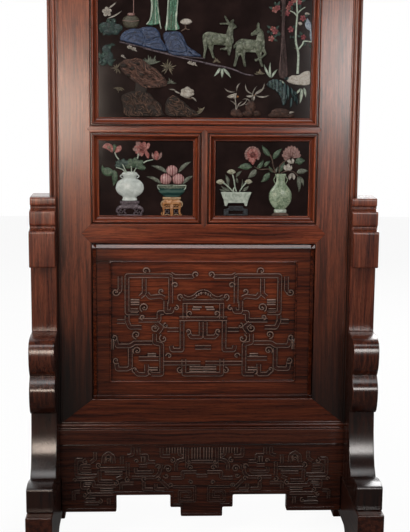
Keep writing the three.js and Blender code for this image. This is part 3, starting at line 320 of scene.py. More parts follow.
# Each stone: its shades, the size of its clouds in millimetres, and its roughness.
stone = {
    "white_jade": hardstone("white_jade_polished", "#a2aaa6", "#b5bdb9", "#c6cdc9", 16, 0.22, glow=0.15),
    "celadon": hardstone("celadon_jade_polished", "#5b6b57", "#768670", "#93a18c", 12, 0.22, vein="#a9b29a",
                         glow=0.1),
    "jade_planter": hardstone("grey_white_jade_polished", "#889388", "#a2aca1", "#b9c1b6", 11, 0.26, glow=0.1),
    "deer_jade": hardstone("grey_green_jade_carved", "#35392d", "#53594a", "#777d6d", 9, 0.3, carve_mm=2, carve=0.4),
    "pine_jade": hardstone("green_jade_carved", "#2a5240", "#446f5a", "#6a937e", 7, 0.28, carve=0.5),
    "pale_jade": hardstone("pale_jade_carved", "#7d8a7c", "#9daa9b", "#bcc5b7", 5, 0.3),
    "leaf_green": hardstone("leaf_green_jade_carved", "#26372b", "#3d4f3e", "#596c55", 5, 0.3, carve=0.5),
    "grey_leaf": hardstone("grey_green_serpentine_carved", "#3b4138", "#555a4f", "#74796c", 5, 0.34, carve=0.5),
    "deep_green": hardstone("dark_green_serpentine_carved", "#182724", "#2c3f39", "#495c54", 5, 0.32, carve=0.6),
    "bowl_green": hardstone("green_agate_polished", "#183330", "#28443f", "#415851", 9, 0.22, stripe_mm=13,
                            stripe_axis="Z"),
    "olive_agate": hardstone("olive_agate_polished", "#3c463c", "#545d50", "#6d7465", 6, 0.25),
    "malachite": hardstone("malachite_carved", "#0e1f22", "#203336", "#3f5353", 6, 0.33, stripe_mm=9, carve=0.7),
    "lapis": hardstone("pale_lapis_carved", "#1a2538", "#2c3a55", "#42526f", 8, 0.32, vein="#232b3f", carve=0.9),
    "yellow_agate": hardstone("yellow_agate_polished", "#774d2e", "#9c6c43", "#b78b66", 7, 0.26),
    "pale_yellow_agate": hardstone("pale_yellow_agate_polished", "#84684a", "#9b7f60", "#a99278", 7, 0.26),
    "peach": hardstone("pink_tourmaline_polished", "#7a4a4b", "#946967", "#b08b88", 5, 0.24, stripe_mm=6),
    "peach_streak": hardstone("pale_pink_tourmaline_polished", "#977270", "#ae8d8a", "#c1a9a5", 5, 0.24),
    "pink": hardstone("rose_agate_carved", "#6f3935", "#8c524e", "#a77a72", 5, 0.3, carve=0.4),
    "pale_pink": hardstone("pale_rose_soapstone_carved", "#6a4b46", "#80615c", "#947b74", 5, 0.34, carve=0.4),
    "coral": hardstone("red_coral_carved", "#5c262b", "#7f3d42", "#a06466", 4, 0.32),
    "ivory": hardstone("cream_soapstone_carved", "#80796e", "#99938a", "#aea9a1", 5, 0.3),
    "yellow_green": hardstone("yellow_green_jade_carved", "#787966", "#979783", "#b2b1a0", 4, 0.3),
    "tan": hardstone("tan_soapstone_carved", "#2c2a22", "#3f3c31", "#535042", 3, 0.42, carve_mm=2, carve=0.9),
    "brown_rock": hardstone("red_brown_soapstone_carved", "#1f140f", "#38251e", "#50392f", 7, 0.6, carve=1.0),
    "brown_ridge": hardstone("red_brown_soapstone_rubbed", "#402820", "#5e4035", "#7a5a4c", 5, 0.5, carve=0.8),
    "dark_rock": hardstone("dark_brown_soapstone_carved", "#110a08", "#20160f", "#31241d", 7, 0.6, carve=1.0),
    "dark_ridge": hardstone("dark_brown_soapstone_rubbed", "#35251e", "#553e33", "#715847", 5, 0.55, carve=0.8),
    "bark": hardstone("brown_bark_soapstone_carved", "#251917", "#413130", "#5a4845", 5, 0.55, carve=0.8),
    "grey_violet": hardstone("grey_violet_soapstone_carved", "#322a2e", "#4f454b", "#6d6368", 5, 0.38),
    "moss": hardstone("dark_moss_jade_carved", "#0d1817", "#1b2c2a", "#334746", 4, 0.4, carve=1.0),
    "straw_leaf": hardstone("straw_coloured_soapstone_carved", "#454133", "#686050", "#8b816c", 5, 0.36),
    "ebony": hardstone("black_wood_polished", "#141619", "#22262a", "#363b40", 6, 0.3),
    "rust": hardstone("rust_soapstone_polished", "#36261f", "#4f3d33", "#655447", 6, 0.4),
    "blue_white": hardstone("blue_white_chalcedony_carved", "#56626f", "#7b8794", "#a9b3bb", 7, 0.3),
}


# Ways to dress the solid pieces -------------------------------------------------------------------------------

def soften(node, width_mm):
    """Rounds the arrises of a wooden piece, as scraping and waxing leave them, and shades its curves smoothly."""
    welded = node.modifiers.new("close_seams", "WELD")
    welded.merge_threshold = SEAM_MM * MM
    flat = node.modifiers.new("flat_faces", "DECIMATE")
    flat.decimate_type = "DISSOLVE"
    flat.angle_limit = math.radians(0.5)
    rounded = node.modifiers.new("rounded_arrises", "BEVEL")
    rounded.width = width_mm * MM
    rounded.segments = 3
    rounded.limit_method = "ANGLE"
    rounded.angle_limit = ARRIS_ANGLE
    shaded = node.modifiers.new("smooth_curves", "NODES")
    shaded.node_group = smooth_by_angle
    level = node.modifiers.new("level_flats", "WEIGHTED_NORMAL")
    level.keep_sharp = True


def make_smooth_by_angle(angle):
    """A modifier that shades faces smoothly, apart from edges sharper than the angle."""
    group = bpy.data.node_groups.new("smooth_by_angle", "GeometryNodeTree")
    group.interface.new_socket("Geometry", in_out="INPUT", socket_type="NodeSocketGeometry")
    group.interface.new_socket("Geometry", in_out="OUTPUT", socket_type="NodeSocketGeometry")
    made = group.nodes.new
    start, end = made("NodeGroupInput"), made("NodeGroupOutput")
    plain = made("GeometryNodeRemoveAttribute")
    plain.inputs["Name"].default_value = "custom_normal"
    faces, edges = made("GeometryNodeSetShadeSmooth"), made("GeometryNodeSetShadeSmooth")
    faces.domain, edges.domain = "FACE", "EDGE"
    edges.inputs["Shade Smooth"].default_value = False
    bend = made("GeometryNodeInputMeshEdgeAngle")
    sharp = made("FunctionNodeCompare")
    sharp.operation = "GREATER_THAN"
    sharp.inputs["B"].default_value = angle
    link = group.links.new
    link(start.outputs[0], plain.inputs["Geometry"])
    link(plain.outputs["Geometry"], faces.inputs["Geometry"])
    link(faces.outputs["Geometry"], edges.inputs["Geometry"])
    link(bend.outputs["Unsigned Angle"], sharp.inputs["A"])
    link(sharp.outputs["Result"], edges.inputs["Selection"])
    link(edges.outputs["Geometry"], end.inputs[0])
    return group


smooth_by_angle = make_smooth_by_angle(WOOD_FOLD)


def carve(node, grid_mm, rounds, lump_mm=0.0, depth_mm=0.0):
    """Rounds a stone cut-out into relief, and breaks its face into lumps where it is a rock."""
    welded = node.modifiers.new("close_seams", "WELD")
    welded.merge_threshold = SEAM_MM * MM
    fine = node.modifiers.new("fine_surface", "REMESH")
    fine.mode = "VOXEL"
    fine.voxel_size = grid_mm * MM
    fine.use_smooth_shade = True
    worn = node.modifiers.new("rounded_relief", "SMOOTH")
    worn.factor = 0.5
    worn.iterations = rounds
    if depth_mm:
        lumps = bpy.data.textures.new(node.name + "_lumps", "VORONOI")
        lumps.noise_scale = lump_mm * MM
        lumps.distance_metric = "DISTANCE"
        cut = node.modifiers.new("carved_lumps", "DISPLACE")
        cut.texture = lumps
        cut.texture_coords = "LOCAL"
        cut.strength = -depth_mm * MM
        cut.mid_level = 0.35


def finish_node(name, material):
    node = nodes[name]
    node.data.materials.clear()
    node.data.materials.append(material)


# Reliefs ------------------------------------------------------------------------------------------------------

def smooth_line(points, steps=5):
    """A line through the points with no corners."""
    line = []
    ends = [points[0], *points, points[-1]]
    for a, b, c, d in zip(ends, ends[1:], ends[2:], ends[3:]):
        for i in range(steps):
            t = i / steps
            line.append(tuple(
                0.5 * (2 * q + (r - p) * t + (2 * p - 5 * q + 4 * r - s) * t * t + (3 * q - p - 3 * r + s) * t ** 3)
                for p, q, r, s in zip(a, b, c, d)
            ))
    line.append(tuple(points[-1]))
    return line


def rounded_line(points, radius, steps=3):
    """A line of straight runs whose corners are rounded."""
    line = [points[0]]
    for before, corner, after in zip(points, points[1:], points[2:]):
        spot, a, b = Vector(corner), Vector(before), Vector(after)
        reach = min(radius, (a - spot).length / 2, (b - spot).length / 2)
        start, end = spot + (a - spot).normalized() * reach, spot + (b - spot).normalized() * reach
        for i in range(steps + 1):
            t = i / steps
            line.append(tuple(start * (1 - t) ** 2 + spot * 2 * t * (1 - t) + end * t * t))
    line.append(points[-1])
    return line


def spot_from(centre, reach, angle, squash=1.0):
    """The spot that lies off a centre at an angle in radians."""
    return centre[0] + reach * math.cos(angle), centre[1] + reach * squash * math.sin(angle)


def curl(centre, radius, start, turn, end_share):
    """A line that winds round a centre and draws in to a share of its radius. Angles are in degrees."""
    return [
        spot_from(centre, radius * (1 - (1 - end_share) * t), math.radians(start + turn * t))
        for t in (i / 12 for i in range(13))
    ]


# Profiles across a line: the place across, from edge to edge, and the share of the full height there.
LEAF = ((-1, 0), (-0.92, 0.45), (-0.5, 0.95), (-0.06, 0.72), (0.06, 0.72), (0.5, 0.95), (0.92, 0.45), (1, 0))
PETAL = ((-1, 0), (-0.97, 0.8), (-0.8, 1), (-0.4, 0.72), (0.4, 0.72), (0.8, 1), (0.97, 0.8), (1, 0))
ROUND = ((-1, 0), (-0.85, 0.6), (-0.45, 0.93), (0.45, 0.93), (0.85, 0.6), (1, 0))
RIBBON = (
    (-1, 0), (-0.98, 0.82), (-0.86, 1), (-0.7, 1), (-0.54, 0.45), (0.54, 0.45), (0.7, 1), (0.86, 1), (0.98, 0.82),
    (1, 0),
)
BEVELLED = ((-1, 0), (-0.92, 0.86), (-0.7, 1), (1, 0.2), (1, 0))


def read_rows(text):
    """Rows of spots and numbers in millimetres: spots are written x,z, and a semicolon ends a row."""
    for row in text.split(";"):
        words = [[float(part) if "." in part else int(part) for part in word.split(",")] for word in row.split()]
        yield [tuple(word) for word in words if len(word) == 2], [word[0] for word in words if len(word) == 1]


class Relief:
    """Low carving on a face that looks along -Y. Shapes are given in millimetres, as x and z, and are gathered into
    one piece. Back is the depth of the face."""

    # Shapes that take all spots of a row as one line.
    ALONG_A_LINE = ("stem", "plate", "turned")

    def __init__(self, back=BOARD_FACE + 0.2):
        self.back = back
        self.spots = []
        self.faces = []

    def skin(self, rings):
        """A closed body through rings of equally many spots."""
        first = len(self.spots)
        count = len(rings[0])
        for ring in rings:
            self.spots.extend(ring)
        for i in range(len(rings) - 1):
            a, b = first + i * count, first + (i + 1) * count
            for j in range(count):
                k = (j + 1) % count
                self.faces.append((a + j, a + k, b + k, b + j))
        self.faces.append(tuple(range(first, first + count)))
        last = first + (len(rings) - 1) * count
        self.faces.append(tuple(range(last, last + count)))
        return self

    def sweep(self, line, profile, widths, heights):
        """Runs a profile along a line. Widths and heights are single numbers or ways to find them from the share of
        the line that is passed."""
        lengths = [0.0]
        for a, b in zip(line, line[1:]):
            lengths.append(lengths[-1] + math.dist(a, b))
        rings = []
        for i, (x, z) in enumerate(line):
            before = Vector(line[i]) - Vector(line[i - 1]) if i else Vector(line[1]) - Vector(line[0])
            after = Vector(line[i + 1]) - Vector(line[i]) if i < len(line) - 1 else before
            before.normalize()
            after.normalize()
            across = Vector((-(before + after).y, (before + after).x)).normalized()
            lean = max(across.dot(Vector((-before.y, before.x))), 0.5)
            share = lengths[i] / lengths[-1]
            half = (widths(share) if callable(widths) else widths) / 2 / lean
            high = heights(share) if callable(heights) else heights
            rings.append([
                (x + across.x * u * half, self.back - v * high, z + across.y * u * half) for u, v in profile
            ])
        return self.skin(rings)

    def leaf(self, start, tip, width, bend=0.0, height=2.4, belly=0.42, blunt=1.0, profile=LEAF):
        """A leaf or petal from its stem end to its tip. Bend pushes its middle sideways, as a share of its length."""
        a, b = Vector(start), Vector(tip)
        side = Vector((-(b - a).y, (b - a).x)) * bend * 2
        middle = (a + b) / 2 + side
        line = [tuple(a * (1 - t) ** 2 + middle * 2 * t * (1 - t) + b * t * t) for t in (i / 9 for i in range(10))]
        power = math.log(0.5) / math.log(belly)

        def spread(share):
            return width * max(math.sin(math.pi * min(share, 0.999) ** power) ** blunt, 0.06)

        return self.sweep(
            line, profile, spread, lambda share: height * (0.55 + 0.45 * math.sin(math.pi * share ** 0.8)),
        )

    def stem(self, points, thick, thin=None, height=2.0, knots=0.0):
        """A round stem through the points, from thick to thin. Knots swell it here and there, as a share of it."""
        thin = thick if thin is None else thin
        phase = points[0][0] + points[0][1]

        def spread(share):
            return (thick + (thin - thick) * share) * (1 + knots * math.sin(17 * share + phase))

        return self.sweep(smooth_line(points), ROUND, spread, height)

    def plate(self, outline, height, edge=1.2, steps=2):
        """A flat piece cut to an outline, with its edge rounded over."""
        outline = list(outline)
        following = outline[1:] + outline[:1]
        area = sum(a[0] * b[1] - b[0] * a[1] for a, b in zip(outline, following))
        side = 1 if area > 0 else -1
        rings = [[(x, self.back, z) for x, z in outline]]
        for step in range(steps + 1):
            angle = math.pi / 2 * step / steps
            inset, lift = edge * (1 - math.cos(angle)), height - edge * (1 - math.sin(angle))
            rings.append([])
            for before, spot, after in zip(outline[-1:] + outline[:-1], outline, following):
                a = (Vector(spot) - Vector(before)).normalized()
                b = (Vector(after) - Vector(spot)).normalized()
                inward = Vector((-(a + b).y, (a + b).x)).normalized() * side
                lean = max(inward.dot(Vector((-a.y, a.x))) * side, 0.5)
                rings[-1].append((
                    spot[0] + inward.x * inset / lean, self.back - lift, spot[1] + inward.y * inset / lean,
                ))
        return self.skin(rings)

    def bar(self, left, right, bottom, top, height, edge=0.8):
        """A short straight bar with rounded edges."""
        return self.plate([(left, bottom), (right, bottom), (right, top), (left, top)], height, edge)

    def ridges(self, name, grain, spacing, width, reach, height):
        """Covers a stone's face with ridges that follow its grain, given as an angle in degrees at a spot."""
        mesh = nodes[name].data
        solid = BVHTree.FromPolygons([v.co for v in mesh.vertices], [p.vertices for p in mesh.polygons])
        low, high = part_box(name)
        left, right, bottom, top = low[0] / MM, high[0] / MM, low[2] / MM, high[2] / MM

        def inside(x, z):
            return solid.ray_cast(Vector((x * MM, -1, z * MM)), Vector((0, 1, 0)))[0] is not None

        for i in range(int((right - left) / spacing) + 1):
            for j in range(int((top - bottom) / spacing) + 1):
                x = left + (i + chance.uniform(0.1, 0.9)) * spacing
                z = bottom + (j + chance.uniform(0.1, 0.9)) * spacing
                step = chance.uniform(0.5, 1) * reach / 7
                thick = width * chance.uniform(0.6, 1.2)
                line = []
                while inside(x, z) and inside(x - width, z) and inside(x + width, z) and len(line) < 8:
                    line.append((x, z))
                    angle = math.radians(grain(x, z))
                    x, z = x + step * math.cos(angle), z + step * math.sin(angle)
                if len(line) > 3:
                    self.sweep(line, ROUND, lambda share: thick * math.sin(math.pi * (0.1 + 0.8 * share)), height)
        return self

    def band(self, points, width, height, radius=3.0):
        """A carved ribbon with a raised line along each edge."""
        return self.sweep(rounded_line(points, radius), RIBBON, width, height)

    def dome(self, centre, half_width, half_height, height, sides=14, rows=4, turn=0.0):
        """A rounded boss."""
        rings = []
        for row in range(rows + 1):
            angle = math.radians(88 * row / rows)
            rings.append([])
            for i in range(sides):
                around = 2 * math.pi * i / sides
                across, up = half_width * math.cos(around), half_height * math.sin(around)
                x = across * math.cos(turn) - up * math.sin(turn)
                z = across * math.sin(turn) + up * math.cos(turn)
                rings[-1].append((
                    centre[0] + x * math.cos(angle), self.back - height * math.sin(angle),
                    centre[1] + z * math.cos(angle),
                ))
        return self.skin(rings)

    def scroll(self, centre, radius, start, turn, end_share, width, height):
        """A round line that curls up."""
        return self.sweep(curl(centre, radius, start, turn, end_share), ROUND, width, height)

    def turned(self, profile, middle, depth, sides=12):
        """Half of a turned form in relief. The profile gives radius and height."""
        widest = max(radius for radius, _ in profile)
        rings = []
        for radius, z in smooth_line(profile, 3):
            radius = max(radius, 0.3)
            rings.append([
                (middle + radius * math.cos(math.pi * i / sides),
                 self.back - depth * radius / widest * math.sin(math.pi * i / sides), z)
                for i in range(sides + 1)
            ])
        return self.skin(rings)

    def blossom(self, centre, radius, petals=6, layers=2, height=2.2, start=0.0, squash=1.0):
        """An open flower, its inner rings of petals smaller and higher."""
        for layer in range(layers):
            reach = radius * (1 - 0.3 * layer)
            for i in range(petals):
                angle = start + 2 * math.pi * (i + 0.5 * layer) / petals
                tip = spot_from(centre, reach, angle, squash)
                self.leaf(centre, tip, reach * 3.6 / petals, 0, height + 1.1 * layer, 0.68, 0.6, PETAL)
        return self.dome(centre, radius * 0.16, radius * 0.16, height + 1.1 * layers, 8, 3)

    def tuft(self, centre, length, start, end, count, width=2.6, height=1.8):
        """Blades that spread from one spot, between two angles in degrees."""
        for i in range(count):
            angle = math.radians(start + (end - start) * i / max(count - 1, 1))
            tip = spot_from(centre, length * (0.8 + 0.2 * math.cos(2.2 * i)), angle)
            self.leaf(centre, tip, width, 0.04 * math.cos(i), height, 0.5)
        return self

    def draw(self, shape, rows, *shared, about=None):
        """Draws a shape for each row. A row gives the spots and then the first numbers that the shape takes, and
        shared gives the values after those. With about, spots are measured from that middle line, and each row is
        drawn on both sides of it."""
        for side in (1,) if about is None else (-1, 1):
            for spots, numbers in read_rows(rows):
                spots = [((about or 0) + side * x, z) for x, z in spots]
                first = [spots] if shape in self.ALONG_A_LINE else spots
                getattr(self, shape)(*first, *numbers, *shared)
        return self

    def place(self, name, material, body="screen", slot=None):
        """Makes the gathered shapes one piece that moves with a body."""
        mesh = bpy.data.meshes.new(name)
        mesh.from_pydata([tuple(c * MM for c in spot) for spot in self.spots], [], self.faces)
        work = bmesh.new()
        work.from_mesh(mesh)
        bmesh.ops.recalc_face_normals(work, faces=work.faces)
        for face in work.faces:
            face.smooth = True
        for edge in work.edges:
            if edge.is_manifold and edge.calc_face_angle(0) > CARVED_FOLD:
                edge.smooth = False
        work.to_mesh(mesh)
        work.free()
        piece = new_object(name, mesh)
        mesh.materials.append(material)
        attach(piece, body)
        return piece


def inlay(name, kind, slot, *drawings, lift=-0.2, about=None):
    """A piece of stone on the boards, from drawings that Relief.draw takes. Its back stands the lift, in millimetres,
    in front of the boards."""
    piece = Relief(BOARD_FACE - lift)
    for drawing in drawings:
        piece.draw(*drawing, about=about)
    piece.place(name, stone[kind], slot=slot + "_stone")


# Camera first, then everything on the screen -----------------------------------------------------------------

add_camera()

# The wood of each piece by the start of its name, and how far its arrises are rounded, in millimetres.
WOODEN_PIECES = (
    ("stile_", "frame_upright", 0.8), ("muntin", "frame_upright", 0.8), ("top_rail", "frame_level", 0.8),
    ("bottom_rail", "frame_level", 0.8), ("upper_divider_rail", "frame_level", 0.8),
    ("lower_divider_rail", "frame_level", 0.8), ("carved_panel", "field", 1.0),
    ("large_moulding_", "moulding", 0.4), ("small_moulding_", "moulding", 0.4),
    ("large_back_board", "back", 1.0), ("small_back_board", "back", 1.0),
    ("post_", "stand_upright", 1.5), ("bracket_", "stand_upright", 7.0), ("foot_", "foot", 6.0),
    ("stand_rail", "stand_level", 2.5), ("apron", "apron", 3.5),
)
for name, node in nodes.items():
    for start, kind, arris_mm in WOODEN_PIECES:
        if name.startswith(start):
            if kind == "moulding":
                kind = "moulding_upright" if name.endswith(("left", "right")) else "moulding_level"
            finish_node(name, wood[kind])
            soften(node, arris_mm)
    if "lacquer_board" in name:
        finish_node(name, lacquer)

# The stone of each piece, the fineness of its surface in millimetres, and how many times it is rubbed smooth.
STONE_NODES = {
    "white_jade_vase": ("white_jade", 1.2, 4), "green_bowl": ("bowl_green", 1.2, 3),
    "jade_planter": ("jade_planter", 0.9, 4), "planter_stand": ("ebony", 0.8, 2),
    "celadon_vase": ("celadon", 1.2, 4), "celadon_vase_base": ("rust", 0.8, 2),
    "standing_deer": ("deer_jade", 0.9, 6), "turning_deer": ("deer_jade", 0.9, 6),
    "pine_trunk_left": ("pine_jade", 1.4, 6), "pine_trunk_right": ("pine_jade", 1.4, 6),
    "brown_tree_trunk": ("bark", 1.4, 6), "cream_rock": ("ivory", 1.2, 5),
}
for name, (kind, grid, rounds) in STONE_NODES.items():
    finish_node(name, stone[kind])
    carve(nodes[name], grid, rounds)

# The stone of each rock, and the breadth and depth of its lumps in millimetres.
ROCK_NODES = {
    "lapis_rock_left": ("lapis", 16, 1.6), "lapis_rock_right": ("lapis", 16, 1.6),
    "brown_rock_upper": ("brown_rock", 13, 2.4), "brown_rock_middle": ("dark_rock", 13, 2.4),
    "brown_rock_lower": ("dark_rock", 13, 2.4), "malachite_rock": ("malachite", 13, 2.0),
}
for name, (kind, lump, depth) in ROCK_NODES.items():
    finish_node(name, stone[kind])
    carve(nodes[name], grid_mm=1.2, rounds=4, lump_mm=lump, depth_mm=depth)


# Carved fret of the panel: one half is drawn and the other mirrored -------------------------------------------

# Runs of ribbon, as spots along the middle of each.
PANEL_FRET = """
    26,692 72,692 82,698; 82,624 82,694 191,694 191,599 161,599; 208,692 208,658 213,652; 148,687 148,648 158,640;
    98,637 106,642 134,639 141,648; 94,630 94,602 80,602 77,612; 99,600 111,600 111,580 162,580;
    155,562 184,562 191,578 191,592; 196,577 216,577; 0,628 52,628; 46,624 46,584; 0,584 60,584;
    53,580 53,503 78,503 80,514; 5,576 5,537 30,537 36,546; 62,556 90,556; 122,545 122,522 104,518 104,440 130,440;
    128,522 172,522 184,514 216,514 220,530; 112,481 162,481; 183,508 183,458 190,454 216,454 218,470;
    6,469 100,469; 48,480 48,440 0,440; 142,466 142,440 164,440 170,447; 0,510 20,510; 118,574 104,562 114,548;
    164,605 182,605
"""
# Curls: the middle, the radius, the angle where each starts, and how far it turns.
PANEL_CURLS = """
    19,697 9 -60 330; 144,706 10 200 -300; 71,670 8 0 330; 219,652 10 180 380; 57,640 9 -90 330; 148,613 12 -60 420;
    34,597 9 -90 330; 38,551 8 -90 -300; 100,533 11 60 -330; 122,560 9 -120 330; 168,543 11 -90 380;
    166,502 11 -40 380; 57,450 9 90 -330; 219,476 9 -120 330; 105,654 8 -90 300; 223,536 8 -90 -300;
    132,448 8 -90 280; 86,488 8 0 300; 152,588 7 -90 330; 172,452 8 -90 300; 94,566 7 90 -300; 68,612 7 90 300
"""
PANEL_CANOPY = [(0, 655), (12, 651), (24, 641), (38, 637), (50, 642)]
# Curls of both frets draw in to this share of their radius.
DRAWN_IN = 0.35
# Short strokes that stand for hair and scales: left, right, bottom and top of each.
PANEL_STROKES = [(160, 182, z, z + 3.4) for z in (619, 625, 631)]
PANEL_STROKES += [(x, x + 3.4, 505, 532) for x in (224, 229)]
PANEL_STROKES += [(x, x + 3.2, 648 - 0.5 * x, 655 - 0.55 * x) for x in (4, 10, 16)]
PANEL_STROKES += [(114, 136, z, z + 3.2) for z in (450, 456)] + [(118, 140, z, z + 3.2) for z in (486, 492)]
PANEL_STROKES += [(0, 34, z, z + 3.0) for z in (446, 452, 458)] + [(8, 28, 606, 610), (4, 26, 612, 616)]


def mirrored(points, side):
    return [(side * x, z) for x, z in points]


def carve_fret(fret, runs, curls, strokes, ribbon, step, coil, boss, stroke):
    """Carves both halves of a fret, in millimetres. Ribbon and coil give a width and a height, and boss and stroke a
    height. Each ribbon rises a step above the one before, so that one passes over the other where they cross."""
    for side in (1, -1):
        for i, (run, _) in enumerate(read_rows(runs)):
            fret.band(mirrored(run, side), ribbon[0], ribbon[1] + step * i)
        for ((x, z),), (radius, start, turn) in read_rows(curls):
            start = start if side > 0 else 180 - start
            fret.scroll((side * x, z), radius, start, side * turn, DRAWN_IN, *coil)
            fret.dome((side * x, z), radius * 0.3, radius * 0.3, boss, 8, 3)
        for left, right, bottom, top in strokes:
            fret.bar(*sorted((side * left, side * right)), bottom, top, stroke)


fret = Relief(CARVED_GROUND + 0.4)
carve_fret(
    fret, PANEL_FRET, PANEL_CURLS, PANEL_STROKES, ribbon=(12.0, 5.0), step=0.03, coil=(4.4, 5.8), boss=6.0,
    stroke=5.2,
)
for side in (1, -1):
    fret.sweep(mirrored(smooth_line(PANEL_CANOPY), side), RIBBON, 9.0, 5.9)
fret.place("carved_panel_fret", wood["panel_fret"], slot="frame_wood")

# A bead runs round the fret, and a bevel round the panel's own edge, where it catches the light.
panel_bead, panel_edge = Relief(PANEL_MARGIN), Relief(PANEL_MARGIN)
corners = [(-233, 421.3), (-233, 729.8), (233, 729.8), (233, 421.3)]
panel_bead.sweep(rounded_line([(0, 421.3), *corners, (0.2, 421.3)], 5), ROUND, 4.2, 2.8)
panel_bead.place("panel_bead", wood["panel_edge"], slot="frame_wood")
for line in (
    [(-277, 768), (277, 768)], [(277, 383), (-277, 383)], [(-271, 378), (-271, 773)], [(271, 773), (271, 378)],
):
    panel_edge.sweep(line, BEVELLED, 9.0, 5.6)
panel_edge.place("panel_edge", wood["panel_edge"], slot="frame_wood")


# Carved fret of the apron -------------------------------------------------------------------------------------

APRON_FRET = """
    38,244 38,190; 104,243 104,221 82,221; 120,206 141,206 141,223 158,223; 163,244 163,224;
    178,244 178,226 190,222; 191,204 191,168; 180,164 120,164 110,174 104,200; 141,196 162,196; 198,188 262,188;
    263,183 263,154 230,154; 222,141 278,141 278,153 308,153 308,137 288,137; 270,170 322,170 322,213 306,213;
    276,160 322,160; 228,119 290,119 302,109; 266,94 302,94; 274,105 298,105;
    226,203 228,222 240,230 252,222 254,203; 84,134 106,156; 150,152 150,132 126,132; 14,178 50,178 50,162 80,162;
    46,213 62,208 68,196 66,182; 0,206 28,206; 0,168 14,168; 58,243 58,226 48,220; 128,186 128,178 170,178 170,190;
    206,222 206,200; 274,232 274,214 286,206; 204,176 250,176; 206,166 220,160; 176,148 208,148 208,132;
    96,132 118,132 118,146; 286,196 310,196 310,182 284,182; 314,126 330,126 330,104; 240,108 240,92
"""
APRON_SPIRAL = [(74, 138), (18, 138), (18, 99), (58, 99), (58, 126), (30, 126), (30, 111), (47, 111)]
APRON_CURLS = """
    299,207 8 90 -330; 265,197 8 -90 360; 221,149 8 90 330; 290,128 7 90 -330; 191,158 8 90 -330; 87,187 11 0 400;
    76,210 8 90 330; 79,142 6 0 330; 148,160 8 -90 330; 30,190 8 0 330; 262,100 7 90 330; 34,205 6 0 -330;
    112,192 8 0 330; 326,158 5 0 330; 112,160 7 0 330; 28,150 6 0 330; 302,116 6 90 330; 240,212 5 0 330;
    92,168 7 0 -330; 168,208 6 0 330
"""
# Short strokes of hair at the middle of the top, and on the sides.
APRON_STROKES = [(x, x + 3.4, 213, 244) for x in (3, 10, 17, 24, 46)]
APRON_STROKES += [(x, x + 3.0, 228, 244) for x in (54, 61, 68, 75, 82, 89)]
APRON_STROKES += [(x, x + 3.0, 204, 220) for x in (147, 154)] + [(x, x + 3.0, 205, 222) for x in (233, 245)]
APRON_STROKES += [(284, 302, z, z + 3.0) for z in (144, 149)] + [(228, 262, z, z + 2.8) for z in (127, 133)]
APRON_RIM = [(0, 64), (50, 64), (50, 90), (74, 90), (74, 124), (225, 124), (225, 79), (346, 79)]
apron_fret = Relief(APRON_FACE + 0.2)
carve_fret(
    apron_fret, APRON_FRET, APRON_CURLS, APRON_STROKES, ribbon=(9.5, 3.2), step=0.02, coil=(3.8, 3.8), boss=3.9,
    stroke=3.3,
)
for side in (1, -1):
    apron_fret.band(mirrored(APRON_SPIRAL, side), 7.0, 3.0, 2.0)
    apron_fret.sweep(mirrored(APRON_RIM, side), ROUND, 3.2, 1.6)
apron_fret.place("apron_fret", wood["apron_fret"], "stand", "stand_wood")


# Left small board: lotus in a white vase, peaches in a green bowl ---------------------------------------------

# Three peaches, with pale streaks up the side of each.
peaches, streaks = Relief(), Relief(BOARD_FACE - 0.6)
for x, z, radius in ((-95, 934, 14.8), (-64, 934, 15.0), (-79.5, 955, 14.2)):
    peaches.dome((x, z), radius, radius * 0.95, 8.5, 24, 7)
    for across in (-0.72, -0.42, -0.1, 0.24, 0.54, 0.8):
        rise = 0.8 * math.sqrt(1 - across ** 2)
        climb = [rise * t / 4 for t in range(-4, 5)]
        line = [(x + radius * across * math.cos(0.9 * v), z + radius * v) for v in climb]
        streaks.sweep(
            line, ROUND, lambda share: 1.0 + 1.6 * math.sin(math.pi * share),
            lambda share: 8.6 * math.sqrt(max(1 - across ** 2 - (rise * (2 * share - 1)) ** 2, 0.02)),
        )
streaks.place("peach_streaks", stone["peach_streak"], slot="pink_stone")
piece = peaches.place("striped_peaches", stone["peach"], slot="pink_stone")
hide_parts("peach_cluster")
inlay("peach_leaves", "grey_leaf", "pale_green", ("leaf", """
    -92,950 -131,967 10 -.08; -106,922 -143,940 9.5 -.1; -63,951 -32,978 10.5 .08; -53,922 -26,943 9.5 .08
"""))
inlay("bowl_handles_and_rim", "pale_jade", "white", ("stem", """
    -115,919 -113,911 -106,907 3.2 2.6 3.2; -45,919 -47,911 -54,907 3.2 2.6 3.2;
    -114,919.5 -80,919.5 -46,919.5 2.2 2.2 8
"""), lift=1.0)
inlay("bowl_upper_band", "olive_agate", "pale_green",
      ("turned", "34,911 35.2,914 36,919 36.2,920.4 -79.9 8.6"), lift=0)

# The stand under the bowl: a slab, a waist, curved shoulders and three legs that end in scrolls.
bowl_stand = Relief().draw("plate", """
    -98.5,884.5 -61.3,884.5 -57.6,879 -55.8,872 -59.5,866.5 -63,871.5 -96.8,871.5 -100.3,866.5 -104,872 -102.2,879
    4 1.2
""")
bowl_stand.draw("bar", "-83.6 -76.2 842.5 872 3.8 1.2; -100 -59.8 861 864 3.2 .8")
bowl_stand.draw("stem", """
    20,873 20.5,864 19,855 21,845 6.2 5 4; 3,866 6.5,868.5 10,867 14,868.5 18,866 2.4 2.4 3.2
""", about=BOWL_MIDDLE)
bowl_stand.draw("scroll", "22.5,847.5 3.6 90 300 .6 2.2 3.4", about=BOWL_MIDDLE)
piece = bowl_stand.place("bowl_stand_carved", stone["yellow_agate"], slot="yellow_stone")
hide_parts("yellow_bowl_stand")
slab = Relief().draw("bar", "-102.5 -57.3 884 890.2 4.6 1.4")
slab.draw("stem", """
    18,881 24,877.5 26,871 23,865 4.4 3.4 4.4; 5,844.5 11,847 18,844.5 2.4 2.4 3.2
""", about=BOWL_MIDDLE)
